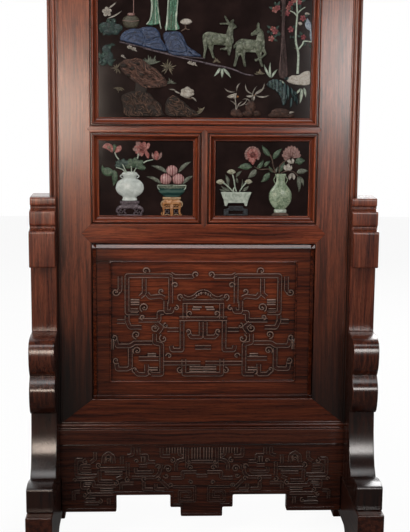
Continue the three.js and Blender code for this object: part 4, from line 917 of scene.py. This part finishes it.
slab.place("bowl_stand_slab_and_scrolls", stone["pale_yellow_agate"], slot="yellow_stone")
inlay("bowl_stand_rings", "grey_violet", "brown", ("scroll", "11,854 4.8 90 350 .8 1.8 2.6"), about=BOWL_MIDDLE)

# The stand under the white vase: a slab, a waist and bowed legs joined by a low stretcher.
vase_stand = Relief().draw("bar", """
    -207.5 -159.5 873.5 880 4.4 1.4; -204 -163 869 874 3.4 1.2; -213.5 -153.5 842.6 846.4 3.4 1.2
""").draw("plate", """
    -205.5,870 -161.5,870 -152.5,865 -150.5,858 -157.5,858 -165.5,861 -174.5,859 -183.5,862 -192.5,859 -201.5,861
    -209.5,858 -216.5,858 -214.5,865 4.2 1.6
""")
vase_stand.draw("stem", """
    29,863 32,855 27,848 30,844 6.4 4.4 4; 11,861 14,854 10,848 13,844.5 4.6 3.6 3.6
""", about=WHITE_VASE_MIDDLE)
vase_stand.draw("scroll", "21,853 4.6 90 320 .6 2.6 3.2", about=WHITE_VASE_MIDDLE)
piece = vase_stand.place("white_vase_stand_carved", stone["grey_violet"], slot="brown_stone")
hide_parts("white_vase_stand")

# Two open lotus pads, each a fan of blades.
lotus_pads, grey_pad = Relief(), Relief(BOARD_FACE)
for pad, centre, angles, length, count in (
    (lotus_pads, (-200, 964), (45, 170), 21, 7), (grey_pad, (-171, 962), (0, 165), 27, 9),
):
    for i in range(count):
        angle = math.radians(angles[0] + (angles[1] - angles[0]) * i / (count - 1))
        tip = spot_from(centre, length * (0.9 + 0.1 * math.cos(3 * i)), angle)
        pad.leaf(centre, tip, length * 0.5, 0, 2.8, 0.72, 0.6)
lotus_pads.draw("leaf", "-206,968 -218,979 8 .1 2.4; -201,972 -202,956 10 .1 3.2")
grey_pad.draw("leaf", "-158,968 -150,956 9 .1 2.4")
lotus_pads.place("dark_lotus_pad", stone["deep_green"], slot="dark_green_stone")
grey_pad.place("grey_lotus_pad", stone["leaf_green"], slot="pale_green_stone")
inlay("curled_lotus_pad", "leaf_green", "pale_green", ("leaf", """
    -219,951 -253,957 22 .08 2.6 .55 .7; -222,956 -224,917 15 .08 2.8 .4 .8; -245,950 -250,968 9 .1 3 .5 .8
"""))
inlay("lotus_stems", "pale_jade", "pale_green", ("stem", """
    -189,943 -200,957 -217,963; -187,944 -194,956 -201,971; -180,945 -179,956 -180,967; -174,944 -172,954 -167,962;
    -210,982 -216,990 -220,1000; -150,974 -141,979 -126,982; -164,985 -163,990 -162,996
""", 3.4, 2.6, 3.4), lift=1.0)
inlay("lotus_flowers", "pink", "pink",
      ("leaf", "-226,999 -250,1012 16 -.32 3 .5; -221,999 -206,1017 13 -.1 3 .6", 0.7, PETAL),
      ("blossom", "-154,1009 19 7 3 2.2 .2"), ("leaf", """
    -146,1004 -138,985 10 .08 3.4 .55 .7; -144,1008 -137,1024 10 -.1 3.4 .55 .7; -118,981 -118,1004 13 0 3.6 .55 .6
""", PETAL))
inlay("pale_outer_petals", "pale_pink", "pink", ("leaf", """
    -161,1007 -176,1010 10 .1 2.6; -160,1012 -168,1026 10 -.1 2.6; -156,1002 -166,992 9 .1 2.6;
    -116,981 -106,1001 7.5 -.1 2.8; -120,981 -128,1000 6 .1 2.8
""", 0.55, 0.8, PETAL))
inlay("lotus_seed_head", "leaf_green", "dark_green",
      ("leaf", "-228,1000 -234,1021 11 .12; -226,1000 -221,1020 11 -.12", 3, 0.62, 0.8))


# Right small board: a potted orchid and peonies in a pale green vase ------------------------------------------

pot_flowers = Relief()
for x, z, half_width, half_height in ((67, 953, 11, 6.5), (40, 928, 10.5, 6.5), (110, 929, 9.5, 6)):
    pot_flowers.leaf((x - half_width, z - 1), (x + half_width, z - 1), 2 * half_height, 0.04, 2.8, 0.5, 0.75)
    pot_flowers.dome((x, z), half_width * 0.5, half_height * 0.45, 3.8, 12, 3)
pot_flowers.place("pot_flowers", stone["yellow_green"], slot="yellow_stone")
inlay("pot_flower_stems", "pale_jade", "white", ("stem", """
    70,946 74,932 76,918 80,904; 48,925 60,916 71,904; 104,926 96,917 88,904; 76,915 72,908 74,903
""", 3.4, 3, 2.8), lift=0.4)
inlay("pot_leaves", "grey_leaf", "pale_green", ("leaf", """
    79,940 93,955 8 .08; 60,920 52,946 9 -.08; 84,925 80,940 6 .06; 66,905 42,918 8 .08; 95,906 110,918 9 -.08;
    56,904 38,910 7 .06; 62,906 58,936 7 .05; 92,908 94,936 5 -.06
"""))
inlay("peony_leaves", "leaf_green", "pale_green", ("leaf", """
    118,965 83,963 17 -.06; 163,992 142,1019 13 .06; 170,984 191,1010 14 .05; 161,952 141,928 15 .08;
    225,976 249,981 19 .08; 130,960 146,982 11 -.06; 148,966 163,980 10 .06; 184,953 198,981 14 -.05;
    170,952 160,968 8 .06
""", 2.6))
inlay("drooping_leaves", "grey_leaf", "pale_green", ("leaf", """
    128,960 108,938 15 .08; 229,951 257,956 14 .06; 232,943 236,904 11 .05; 236,942 247,918 9 .06;
    176,948 182,966 7 .06
""", 2.4))
inlay("peony_branches", "rust", "brown", ("stem", """
    162,996 168,982 171,966 178,948; 178,950 160,960 140,959 124,966; 190,950 205,956 220,954 232,944;
    186,950 188,970 208,986
""", 3.4, 2.4, 2.8), lift=0.2)
inlay("round_peony", "pink", "pink", ("blossom", "119,996 20 9 3 2.2 .1"),
      ("leaf", "119,992 120,970 15 0 3 .4 .8"))
# A peony seen from the side, in three layers of petals, and a pale rim round the other one.
fan_peony, peony_rim = Relief(), Relief()
for layer, (length, count) in enumerate(((31, 9), (24, 7), (16, 5))):
    for i in range(count):
        angle = math.radians(15 + 150 * i / (count - 1))
        tip = (215 + length * math.cos(angle) * 0.8, 988 + length * math.sin(angle))
        fan_peony.leaf((215, 987), tip, length * 0.34, 0, 2.4 + layer, 0.7, 0.7, PETAL)
fan_peony.draw("leaf", "214,990 196,986 9 .1 3 .6 .7", PETAL)
fan_peony.place("fan_peony", stone["pale_pink"], slot="pink_stone")
for i in range(13):
    angle = math.radians(-35 + 250 * i / 12)
    peony_rim.dome(spot_from((119, 996), 17, angle), 4.6, 3.6, 2.6, 10, 3, angle + math.pi / 2)
peony_rim.place("round_peony_rim", stone["pale_pink"], slot="pink_stone")
inlay("white_peony_buds", "ivory", "white", ("leaf", """
    206,955 198,972 9 .1; 206,955 209,975 10 0; 207,956 216,969 8 -.1; 218,974 205,987 9 .1; 218,974 217,987 8 -.1;
    217,951 212,933 8 -.1; 218,951 222,934 8 .1
""", 3.2, 0.55, 0.8, PETAL))


# Large board: the lower half follows the photograph and the upper half carries it on ---------------------------

inlay("hanging_basket", "tan", "yellow",
      ("turned", "8,1299 15,1302 19.5,1310 20.5,1316 17,1324 9,1329 -179.5 6.5"))
inlay("basket_lid_and_cord", "pale_pink", "pink", ("turned", "8.5,1328.5 9,1331 8.5,1333.5 4,1335 -179 6.5"),
      ("stem", "-199,1317 -179.5,1315 -160,1317 2 2 7.2; -173,1333 -173,1380 -175,1440 -177,1497 2.4 2 2.4"))
inlay("white_flower_spray", "ivory", "white",
      ("leaf", "-236,1321 -201,1340 4.2 -.06; -234,1345 -214,1361 4.2 -.05", 2),
      ("blossom", "-237,1337 12 5 2 2.4 .4"))
# Small dark leaves in two beds at the left edge.
undergrowth = Relief()
for i in range(34):
    upper = i < 18
    x = chance.uniform(BOARD_LEFT + 1, -208 if upper else -226)
    z = chance.uniform(1283, 1320) if upper else chance.uniform(1214, 1262)
    angle = chance.uniform(0, 2 * math.pi)
    tip_x, tip_z = spot_from((x, z), chance.uniform(9, 15), angle)
    tip = (max(min(tip_x, -203), BOARD_LEFT), tip_z)
    undergrowth.leaf((x, z), tip, chance.uniform(6, 9), chance.uniform(-0.12, 0.12), 2.6)
undergrowth.place("undergrowth", stone["deep_green"], slot="dark_green_stone")
inlay("leafy_mound", "moss", "dark_green", ("dome", """
    -243,1301 13 12; -227,1304 14 12; -212,1299 13 10; -234,1290 14 9; -217,1289 10 7; -239,1247 11 12;
    -234,1231 12 13; -241,1221 9 9; -229,1217 7 8
""", 1.9, 14, 3))
# Pale strips along the pine trunks: partly the stone's pale streaks, partly a painted highlight on the trunks' edges.
inlay("pine_trunk_pale_ridges_and_highlights", "pale_jade", "pale_green", ("stem", """
    -142,1308 -134,1318 -130,1334 -129,1358 -134,1402 -130,1470 4 3;
    -107,1298 -111,1318 -114,1340 -115,1372 3.4 1.6; -95,1294 -92,1316 -91,1344 -88,1380 -84,1430 4.4 2.6;
    -70,1296 -71,1318 -69,1344 -66,1380 5 2.4; -120,1310 -121,1336 -120,1366 2.6 1.6;
    -84,1470 -88,1510 -64,1580 3.6 2.2; -66,1420 -70,1480 -56,1560 3.6 2.2; -116,1430 -112,1480 -130,1536 3.4 2
""", 2.8, 0.28), lift=3.2)
# Dark strips on the pine trunks: partly the stone's dark streaks, partly painted shade on the trunks.
inlay("pine_trunk_dark_ridges_and_shade", "leaf_green", "dark_green", ("stem", """
    -126,1306 -125,1330 -125,1380 -126,1450 3.2 2.2; -83,1294 -82,1330 -79,1400 -78,1480 5 3;
    -112,1330 -119,1400 -117,1460 3 2; -76,1300 -76,1350 -73,1440 3 2; -88,1300 -87,1350 -84,1410 2.6 1.8
""", 2.4, 0.35), lift=3.0)
inlay("fungus_caps", "ivory", "white",
      ("leaf", "-61,1314 -32,1315 15 .03 3.6 .5 .55; -60,1140 -26,1142 26 .12 4 .5 .7"),
      ("dome", "-52,1150 7 5.6; -43,1155 7 5.6; -33,1149 7 5.6; -40,1138 6 4.8", 4.6, 12, 3))
inlay("fungus_stems", "rust", "brown", ("stem", """
    -49,1308 -48,1300 -58,1293 4 2.6; -48,1300 -44,1297 -38,1297 3.4 2.2; -46,1138 -40,1132 -31,1132 4 2.6
"""))
small_white = Relief()
for x, z, radius in ((-183, 1254, 6.5), (-173, 1250, 6), (-37, 1218, 6), (-27, 1216, 5.5), (-200, 1233, 4)):
    small_white.blossom((x, z), radius, 5, 1, 2.4, x, 0.7)
    small_white.leaf((x, z - 2), (x + 9, z - 7), 3.4, 0.05, 1.8)
small_white.draw("leaf", """
    -72,1152 -88,1154 3 0 1.8; -59,1144 -76,1153 4 .1 2; -34,1135 -20,1124 4 .1 2; 235,1313 224,1316 9 .1 2.4;
    240,1336 253,1335 7 .1 2.4; 205,1096 220,1100 6 .1 2
""")
small_white.place("small_white_flowers", stone["ivory"], slot="white_stone")
inlay("grass_tufts", "straw_leaf", "brown", ("tuft", """
    -90,1206 22 -60 240 13 3.2; -213,1203 16 60 300 7 3.2; -208,1158 15 190 330 7 3; -8,1098 16 60 190 7 4;
    133,1191 14 10 170 7 3.4; 27,1221 11 -10 190 6 3.4; 224,1252 9 20 160 4 2.6
"""))
inlay("grey_grass", "grey_leaf", "pale_green", ("tuft", "-132,1212 26 20 160 11 4.4; -84,1168 15 0 180 6 3.6"))
inlay("bamboo_leaves", "pale_jade", "pale_green", ("leaf", """
    38,1205 21,1185 6; 41,1205 41,1182 7.5; 43,1205 63,1182 7; 36,1207 26,1193 4; 237,1158 233,1121 8;
    234,1158 221,1142 5.5; 242,1160 247,1136 7; 160,1183 143,1216 6; 160,1183 159,1220 6; 162,1183 177,1204 5.5;
    181,1178 200,1164 4.5
""", 0.04, 2.4))
inlay("teal_leaves", "malachite", "dark_green", ("leaf", """
    178,1172 171,1156 9; 186,1177 180,1148 8; 194,1172 196,1136 9; 201,1167 204,1130 8; 208,1161 220,1126 8;
    213,1152 228,1138 7; 200,1146 194,1122 7; 222,1140 226,1116 7; 190,1184 212,1176 8; 212,1136 209,1110 7
""", 0.05, 3), lift=1.6)
inlay("ground_lines", "grey_violet", "brown", ("stem", """
    -207,1266 -150,1254 -90,1239 -40,1232 0,1228 4 3 2; 0,1217 60,1205 95,1192 118,1188 5.5 3 2;
    -150,1252 -100,1240 -40,1226 0,1218 4 4 1.6
"""))
inlay("white_orchids", "ivory", "white", ("leaf", """
    78,1146 54,1137 10 .14; 74,1149 47,1158 3.2 .16; 78,1150 86,1170 3.2 .14; 76,1142 70,1132 5 .1;
    120,1142 101,1139 6 .14; 119,1144 99,1168 3.4 .24; 124,1145 145,1170 3.6 -.2; 123,1141 157,1141 4 -.14;
    121,1140 119,1127 6 0; 122,1142 138,1149 6 .1; 104,1132 80,1114 2.8 .16; 72,1137 77,1133 5 0
""", 3, 0.5, 0.85), ("stem", "74,1134 76,1120 77,1106 2.4 3 2.6"), ("leaf", """
    78,1108 61,1127 2.6 -.18; 80,1106 92,1125 2.6 .18; 112,1124 92,1130 2.6 -.2; 118,1124 148,1158 2.6 .18;
    116,1126 127,1163 2.6 .12; 110,1124 98,1118 2.6 .1
""", 2.4, 0.5, 0.85))
inlay("orchid_hearts", "yellow_agate", "yellow", ("dome", "80,1137 3 2.6 3.2; 121,1141 1.8 1.8 3.4", 10, 3), lift=1.0)
# Low rocks, each with a smaller lump on its upper left.
low_rocks = Relief()
for [(x, z)], (half_width, half_height) in read_rows("""
    76,1098 13 11; 86,1093 9 6; 112,1112 13 16; 106,1096 14 8; 128,1096 10 8; 186,1098 25 12; 168,1092 13 6;
    207,1091 14 6
"""):
    low_rocks.dome((x, z), half_width, half_height, 3.6, 12, 3)
    low_rocks.dome((x - half_width * 0.3, z + half_height * 0.3), half_width * 0.45, half_height * 0.4, 4.6, 9, 3)
low_rocks.place("low_rocks", stone["brown_rock"], slot="brown_stone")
inlay("rock_neck", "dark_rock", "brown", ("plate", """
    -168,1174 -150,1168 -136,1166 -142,1150 -134,1132 -150,1128 -164,1138 -172,1152;
    -134,1134 -122,1122 -108,1104 -96,1090 -120,1090 -136,1104 -144,1120
""", 3, 2.4, 3), lift=0.6)
inlay("rock_hollows", "dark_rock", "brown", ("dome", """
    -197,1209 9 5; -176,1203 7 6; -154,1188 8 5; -185,1186 6 3.5; -134,1184 6 3; -163,1214 5 3
""", 2.2, 12, 3), lift=4.4)
inlay("slender_tree", "pale_jade", "pale_green", ("stem", """
    226,1193 227,1235 225,1250 220,1272 220,1300 222,1335 220,1364 6.5 3.6;
    225,1250 236,1263 240,1271 258,1270 4.4 3; 221,1332 212,1340 204,1343 3.6 2.2;
    222,1336 230,1345 241,1352 3.6 2.2; 220,1364 228,1400 240,1440 232,1490 3.6 2.2; 228,1400 214,1425 208,1452 3 2
""", 2.8), lift=0.4)
inlay("peach_tree_branches", "bark", "brown", ("stem", """
    176,1596 160,1640 128,1672 92,1690 9 3; 176,1600 190,1650 214,1690 224,1740 9 3;
    184,1500 160,1530 128,1545 7 2.6; 186,1440 208,1470 236,1486 6 2.6; 187,1360 176,1385 158,1400 5 2.4;
    160,1640 168,1690 156,1730 5 2.4
""", 3), lift=0.2)
# The blossoms that the photograph shows, and clusters of them on the branches above it.
[(blossom_spots, _)] = read_rows("""
    168,1346 174,1350 197,1338 200,1350 205,1360 226,1364 164,1300 169,1294 207,1299 160,1277 236,1326 238,1281
    214,1368
""")
for [(middle_x, middle_z)], (spread_x, spread_z, count) in read_rows("""
    100,1690 34 20 9; 150,1735 30 22 8; 222,1742 26 22 8; 130,1548 30 16 7; 226,1490 24 20 6; 160,1404 22 16 5;
    205,1655 26 18 6; 235,1400 16 16 4
"""):
    for _ in range(count):
        x, z = middle_x + chance.uniform(-spread_x, spread_x), middle_z + chance.uniform(-spread_z, spread_z)
        blossom_spots.append((min(x, BOARD_RIGHT - 9), z))
red_blossoms, pink_blossoms, tree_leaves = Relief(), Relief(), Relief()
for i, (x, z) in enumerate(blossom_spots):
    flower = red_blossoms if i % 3 else pink_blossoms
    flower.blossom((x, z), chance.uniform(6.5, 8.5), 5, 1, 2.6, chance.uniform(0, 6))
    for _ in range(2):
        angle = chance.uniform(0, 2 * math.pi)
        tip_x, tip_z = spot_from((x, z), 17, angle)
        tree_leaves.leaf(spot_from((x, z), 5, angle), (min(tip_x, BOARD_RIGHT - 1), tip_z), 6.5, 0.08, 2.0)
for [(x, z)], _ in read_rows("150,1290; 160,1286; 170,1285; 176,1290; 205,1281; 212,1279; 244,1268; 252,1262"):
    tree_leaves.leaf((x, z), (x + chance.uniform(-9, 9), z + chance.uniform(-8, 8)), 7, 0.08, 2.4)
red_blossoms.place("red_blossoms", stone["coral"], slot="pink_stone")
pink_blossoms.place("pink_blossoms", stone["pink"], slot="pink_stone")
tree_leaves.place("peach_tree_leaves", stone["deep_green"], slot="dark_green_stone")
inlay("pale_blue_rock_edge", "blue_white", "blue", ("leaf", "257,1296 247,1326 15 .1 2.4 .5 .8"),
      ("leaf", "258,1270 255,1302 6 0 2"))
inlay("pine_branches", "bark", "brown", ("stem", """
    -130,1468 -160,1494 -196,1500 -232,1488 8 3.4; -138,1540 -160,1590 -205,1618 -236,1612 9 3.4;
    -136,1540 -128,1600 -150,1660 -190,1700 9 3.4; -56,1586 -30,1640 -60,1700 -100,1744 10 3.6;
    -54,1586 -6,1618 40,1612 76,1630 9 3.4; -84,1440 -40,1462 4,1458 7 3; -38,1660 6,1700 22,1750 7 3
""", 3.4), lift=0.4)
PINE_PADS = """
    -238,1494 22; -208,1512 24; -176,1508 20; -236,1622 22; -204,1636 26; -172,1614 22; -196,1712 26; -160,1690 22;
    -152,1668 20; -104,1760 26; -70,1726 24; -134,1738 22; -2,1470 22; -34,1476 20; 78,1642 22; 44,1630 24;
    8,1634 22; 26,1764 24; -8,1716 22; -60,1790 24; -20,1800 22
"""
# Pads of pine needles, light and dark by turns.
light_pads, dark_pads = Relief(), Relief()
for i, ([(x, z)], [radius]) in enumerate(read_rows(PINE_PADS)):
    pad = dark_pads if i % 2 else light_pads
    pad.tuft((x, z - radius * 0.35), radius, -15, 195, 15, 4.2, 2.6)
    pad.dome((x, z - radius * 0.3), radius * 0.25, radius * 0.2, 3.2, 10, 3)
light_pads.place("light_pine_needles", stone["pine_jade"], slot="pale_green_stone")
dark_pads.place("dark_pine_needles", stone["deep_green"], slot="dark_green_stone")
# A crane is given by its middle and the side that it flies to.
cranes, crane_marks = Relief(), Relief(BOARD_FACE - 0.8)
for x, z, side in ((70, 1520, 1), (28, 1850, -1)):
    cranes.leaf((x - 16 * side, z), (x + 16 * side, z + 3), 11, 0.06, 3.4, 0.5, 0.8)
    cranes.leaf((x - 2 * side, z + 2), (x - 16 * side, z + 30), 12, 0.1 * side, 2.8)
    cranes.leaf((x + 3 * side, z - 1), (x + 2 * side, z - 26), 11, -0.1 * side, 2.6)
    cranes.stem([(x + 13 * side, z + 3), (x + 26 * side, z + 9), (x + 37 * side, z + 7)], 3.4, 2.4)
    cranes.stem([(x - 14 * side, z), (x - 30 * side, z - 4), (x - 42 * side, z - 3)], 2.4, 1.8)
    crane_marks.dome((x + 37 * side, z + 8.5), 2.6, 2.0, 3.0, 8, 3)
cranes.place("flying_cranes", stone["white_jade"], slot="white_stone")
crane_marks.draw("dome", "210,1826 17 17 3 24 4")
crane_marks.place("sun_and_crane_crowns", stone["coral"], slot="pink_stone")
# Clouds, each of four curls on a flat line.
clouds = Relief()
for x, z, size in ((176, 1806, 1.0), (236, 1800, 0.8), (-214, 1800, 1.0), (-150, 1832, 0.8), (96, 1790, 0.9)):
    for dx, dz, radius in ((-22, 0, 8), (-9, 6, 10), (7, 4, 9), (20, -1, 7)):
        middle = (min(x + dx * size, BOARD_RIGHT - 11), z + dz * size)
        clouds.scroll(middle, radius * size, -30, 330, 0.3, 3.6, 2.4)
    end = (min(x + 28 * size, BOARD_RIGHT - 3), z - 10 * size)
    clouds.stem([(x - 30 * size, z - 9 * size), (x, z - 6 * size), end], 4.0, 2.0)
clouds.place("cloud_scrolls", stone["blue_white"], slot="blue_stone")


# Vase details -------------------------------------------------------------------------------------------------

inlay("white_vase_ears", "white_jade", "white",
      ("stem", "17,946 23,941 17,936 3 3 3.2"), lift=0.6, about=WHITE_VASE_MIDDLE)
inlay("celadon_vase_handles", "celadon", "pale_green",
      ("stem", "12,943 17,934 13,925 2.6 2.2 3"), lift=0.6, about=CELADON_MIDDLE)
inlay("celadon_foot_ring", "jade_planter", "white", ("turned", "15.5,852.5 15.8,856 14.6,860 190 5.5"), lift=0)


# Carving on the deer and the rocks ----------------------------------------------------------------------------

inlay("deer_carving", "deer_jade", "pale_green", ("dome", """
    12,1271 11 15; 33,1273 20 13; 57,1268 9 15; 84,1256 11 15; 104,1260 19 13; 130,1257 10 16
""", 5, 18, 5), ("stem", """
    60,1280 62,1296 64,1307 10 8; 134,1268 137,1284 131,1298 12 9; 12,1262 15,1248 20,1233 5.6 4.2;
    4,1262 1,1248 -2,1233 5 4; 58,1258 58,1246 58,1237 5 4.2; 56,1254 47,1250 38,1252 4.4 3.6;
    57,1312 50,1320 47,1328 3.2 2.4; 54,1311 44,1312 36,1310 3.2 2.4; 80,1250 75,1232 71,1212 6 4.6;
    88,1246 92,1230 97,1212 6 4.6; 128,1248 131,1232 137,1213 6 4.6; 140,1256 146,1242 137,1232 5 4.2;
    137,1232 129,1228 121,1225 4.6 3.6
""", 3.2), ("leaf", """
    57,1311 77,1303 9; 61,1312 67,1322 5; 134,1300 110,1286 12; 127,1300 128,1316 6; 74,1263 68,1252 5;
    -1,1282 -6,1272 4
""", 0.04, 3.8), lift=2.6)
inlay("deer_eyes", "ebony", "brown", ("dome", "66,1309; 124,1296", 1.3, 1.1, 1.4, 8, 3), lift=5.6)
inlay("lapis_lobes", "lapis", "blue", ("plate", """
    -206,1270 -152,1257 -148,1266 -151,1284 -157,1295 -172,1296 -188,1291 -200,1281;
    -146,1268 -131,1270 -119,1277 -108,1278 -111,1289 -119,1299 -131,1303 -146,1301 -155,1294 -149,1282;
    -147,1256 -121,1249 -99,1245 -97,1250 -102,1262 -109,1272 -119,1273 -131,1267 -145,1264;
    -98,1262 -91,1246 -60,1241 -42,1245 -46,1256 -53,1270 -61,1285 -69,1290 -82,1289 -92,1281;
    -40,1245 -30,1236 -9,1232 -20,1243 -29,1249 -38,1251
""", 3.8, 3, 4), lift=2.8)
inlay("lapis_folds", "lapis", "blue", ("stem", """
    -200,1272 -190,1283 -174,1289 -158,1288; -190,1270 -178,1279 -164,1281 -155,1276; -176,1268 -166,1272 -155,1268;
    -144,1292 -132,1296 -120,1292 -113,1283; -142,1283 -130,1286 -120,1283; -140,1275 -130,1277;
    -136,1258 -122,1264 -110,1262; -126,1254 -114,1256 -104,1252; -92,1268 -84,1281 -72,1284 -62,1276;
    -86,1258 -80,1271 -68,1273 -58,1262; -78,1252 -70,1261 -58,1255 -52,1250
""", 2.6, 1.4, 2, 0.3), lift=5.8)


def swirl(angle, size, strength):
    """The grain of a rock: an angle in degrees, bent by slow noise."""
    return lambda x, z: angle + strength * noise.noise((x / size, z / size, angle))


for name, kind, slot, grain, spacing, width, reach in (
    ("brown_rock_upper", "brown_ridge", "brown_stone", swirl(-32, 20, 110), 6.0, 3.0, 26),
    ("brown_rock_middle", "dark_ridge", "brown_stone", swirl(-40, 15, 150), 6.2, 3.0, 24),
    ("brown_rock_lower", "dark_ridge", "brown_stone", swirl(-48, 15, 150), 6.2, 3.0, 24),
    ("malachite_rock", "deep_green", "dark_green_stone", swirl(-70, 18, 120), 6.5, 3.4, 20),
    ("brown_tree_trunk", "bark", "brown_stone", swirl(90, 26, 22), 6.5, 2.8, 40),
    ("pine_trunk_left", "pine_jade", "pale_green_stone", swirl(88, 30, 30), 12.0, 3.4, 44),
    ("pine_trunk_right", "pine_jade", "pale_green_stone", swirl(86, 30, 30), 12.0, 3.4, 44),
):
    ridges = Relief(BOARD_FACE - 2.6).ridges(name, grain, spacing, width, reach, height=3.4)
    ridges.place(name + "_ridges", stone[kind], slot=slot)


# Floor, world and lamps ---------------------------------------------------------------------------------------

FLOOR_REACH = 6
# The share of white paper in the floor's look, and the room's brightness before the screen, as light and in gloss.
PAPER_SHARE = 0.93
ROOM_LIGHT, ROOM_GLOSS = 0.17, 0.05


def backdrop_share(tree, behind):
    """How far a ray sees white paper: all of it for the camera, and only what lies behind the screen for a ray that
    a gloss or a clear body sends on."""
    ray = add(tree, "LightPath")
    sent_on = add(tree, "Math", {0: ray["Is Glossy Ray"], 1: ray["Is Transmission Ray"]}, operation="MAXIMUM")[0]
    sent_back = add(tree, "Math", {0: sent_on, 1: behind}, operation="MULTIPLY")[0]
    return add(tree, "Math", {0: ray["Is Camera Ray"], 1: sent_back}, operation="MAXIMUM")[0]


def pale_floor():
    """A matt white studio floor. The camera sees it almost as white paper, with a faint shadow under the feet."""
    material, tree, place = new_material("matt_white_floor")
    # White for the camera, and grey in what it throws back at the screen, like the dark studio before it.
    seen = add(tree, "LightPath")["Is Camera Ray"]
    tint = add(tree, "Mix", {0: seen, 6: linear("#4c4c4b"), 7: linear("#f4f4f2")}, data_type="RGBA")
    grit = add(tree, "TexNoise", {"Scale": 900.0})
    bump = add(tree, "Bump", {"Height": grit["Fac"], "Strength": 0.05, "Distance": 0.0005})
    matt = add(tree, "BsdfPrincipled", {
        "Base Color": tint[2], "Roughness": 0.9, "Normal": bump["Normal"],
    })["BSDF"]
    paper = add(tree, "Emission", {"Color": (1, 1, 1, 1), "Strength": 1.0})["Emission"]
    depth = add(tree, "SeparateXYZ", {"Vector": place})["Y"]
    behind = add(tree, "MapRange", {"Value": depth, "From Min": 0.2, "From Max": 0.6})["Result"]
    share = add(tree, "Math", {0: backdrop_share(tree, behind), 1: PAPER_SHARE}, operation="MULTIPLY")[0]
    mixed = add(tree, "MixShader", {0: share, 1: matt, 2: paper})
    add(tree, "OutputMaterial", {"Surface": mixed[0]})
    return material


floor_mesh = bpy.data.meshes.new("studio_floor")
floor_mesh.from_pydata([
    (x * FLOOR_REACH, y * FLOOR_REACH, 0) for x, y in ((-1, -1), (1, -1), (1, 1), (-1, 1))
], [], [(0, 1, 2, 3)])
floor_mesh.materials.append(pale_floor())
floor = new_object("studio_floor", floor_mesh)

world = bpy.data.worlds.new("studio")
bpy.context.scene.world = world
world.use_nodes = True
tree = world.node_tree
tree.nodes.clear()
ray = add(tree, "LightPath")
direction = add(tree, "SeparateXYZ", {"Vector": add(tree, "TexCoord")["Generated"]})
behind = add(tree, "MapRange", {"Value": direction["Y"], "From Min": 0.1, "From Max": 0.5})["Result"]
dim = add(tree, "MapRange", {"Value": ray["Is Glossy Ray"], "To Min": ROOM_LIGHT, "To Max": ROOM_GLOSS})["Result"]
room = add(tree, "Background", {"Color": linear("#eef0f4"), "Strength": dim})
paper = add(tree, "Background", {"Color": (1, 1, 1, 1), "Strength": 1.0})
mixed = add(tree, "MixShader", {0: backdrop_share(tree, behind), 1: room[0], 2: paper[0]})
add(tree, "OutputWorld", {"Surface": mixed[0]})

add_softbox("softbox_left", (-1.75, -2.55, 2.35), (0, 0, 1.15), 1.2, 1.5, 49, "#fffaf4")
add_softbox("softbox_left_near", (-0.61, -2.95, 0.96), (0, 0, 1.1), 0.34, 0.46, 13, "#ffebda")
add_softbox("softbox_right_near", (0.87, -2.95, 1.17), (0, 0, 1.1), 0.34, 0.54, 14, "#fffaf6")
add_softbox("softbox_top", (0, -1.6, 2.95), (0, 0, 1.0), 2.2, 0.7, 20, "#ffffff")
add_softbox("softbox_side_left", (-3.1, 0.7, 1.5), (0, 0, 0.8), 1.0, 1.6, 30, "#ffffff")
add_softbox("softbox_side_right", (3.1, 0.7, 1.5), (0, 0, 0.8), 1.0, 1.6, 30, "#ffffff")
add_softbox("softbox_back", (0.8, 2.8, 2.6), (0, 0, 1.0), 1.8, 1.8, 70, "#ffffff")

bpy.context.scene.view_settings.view_transform = "Standard"
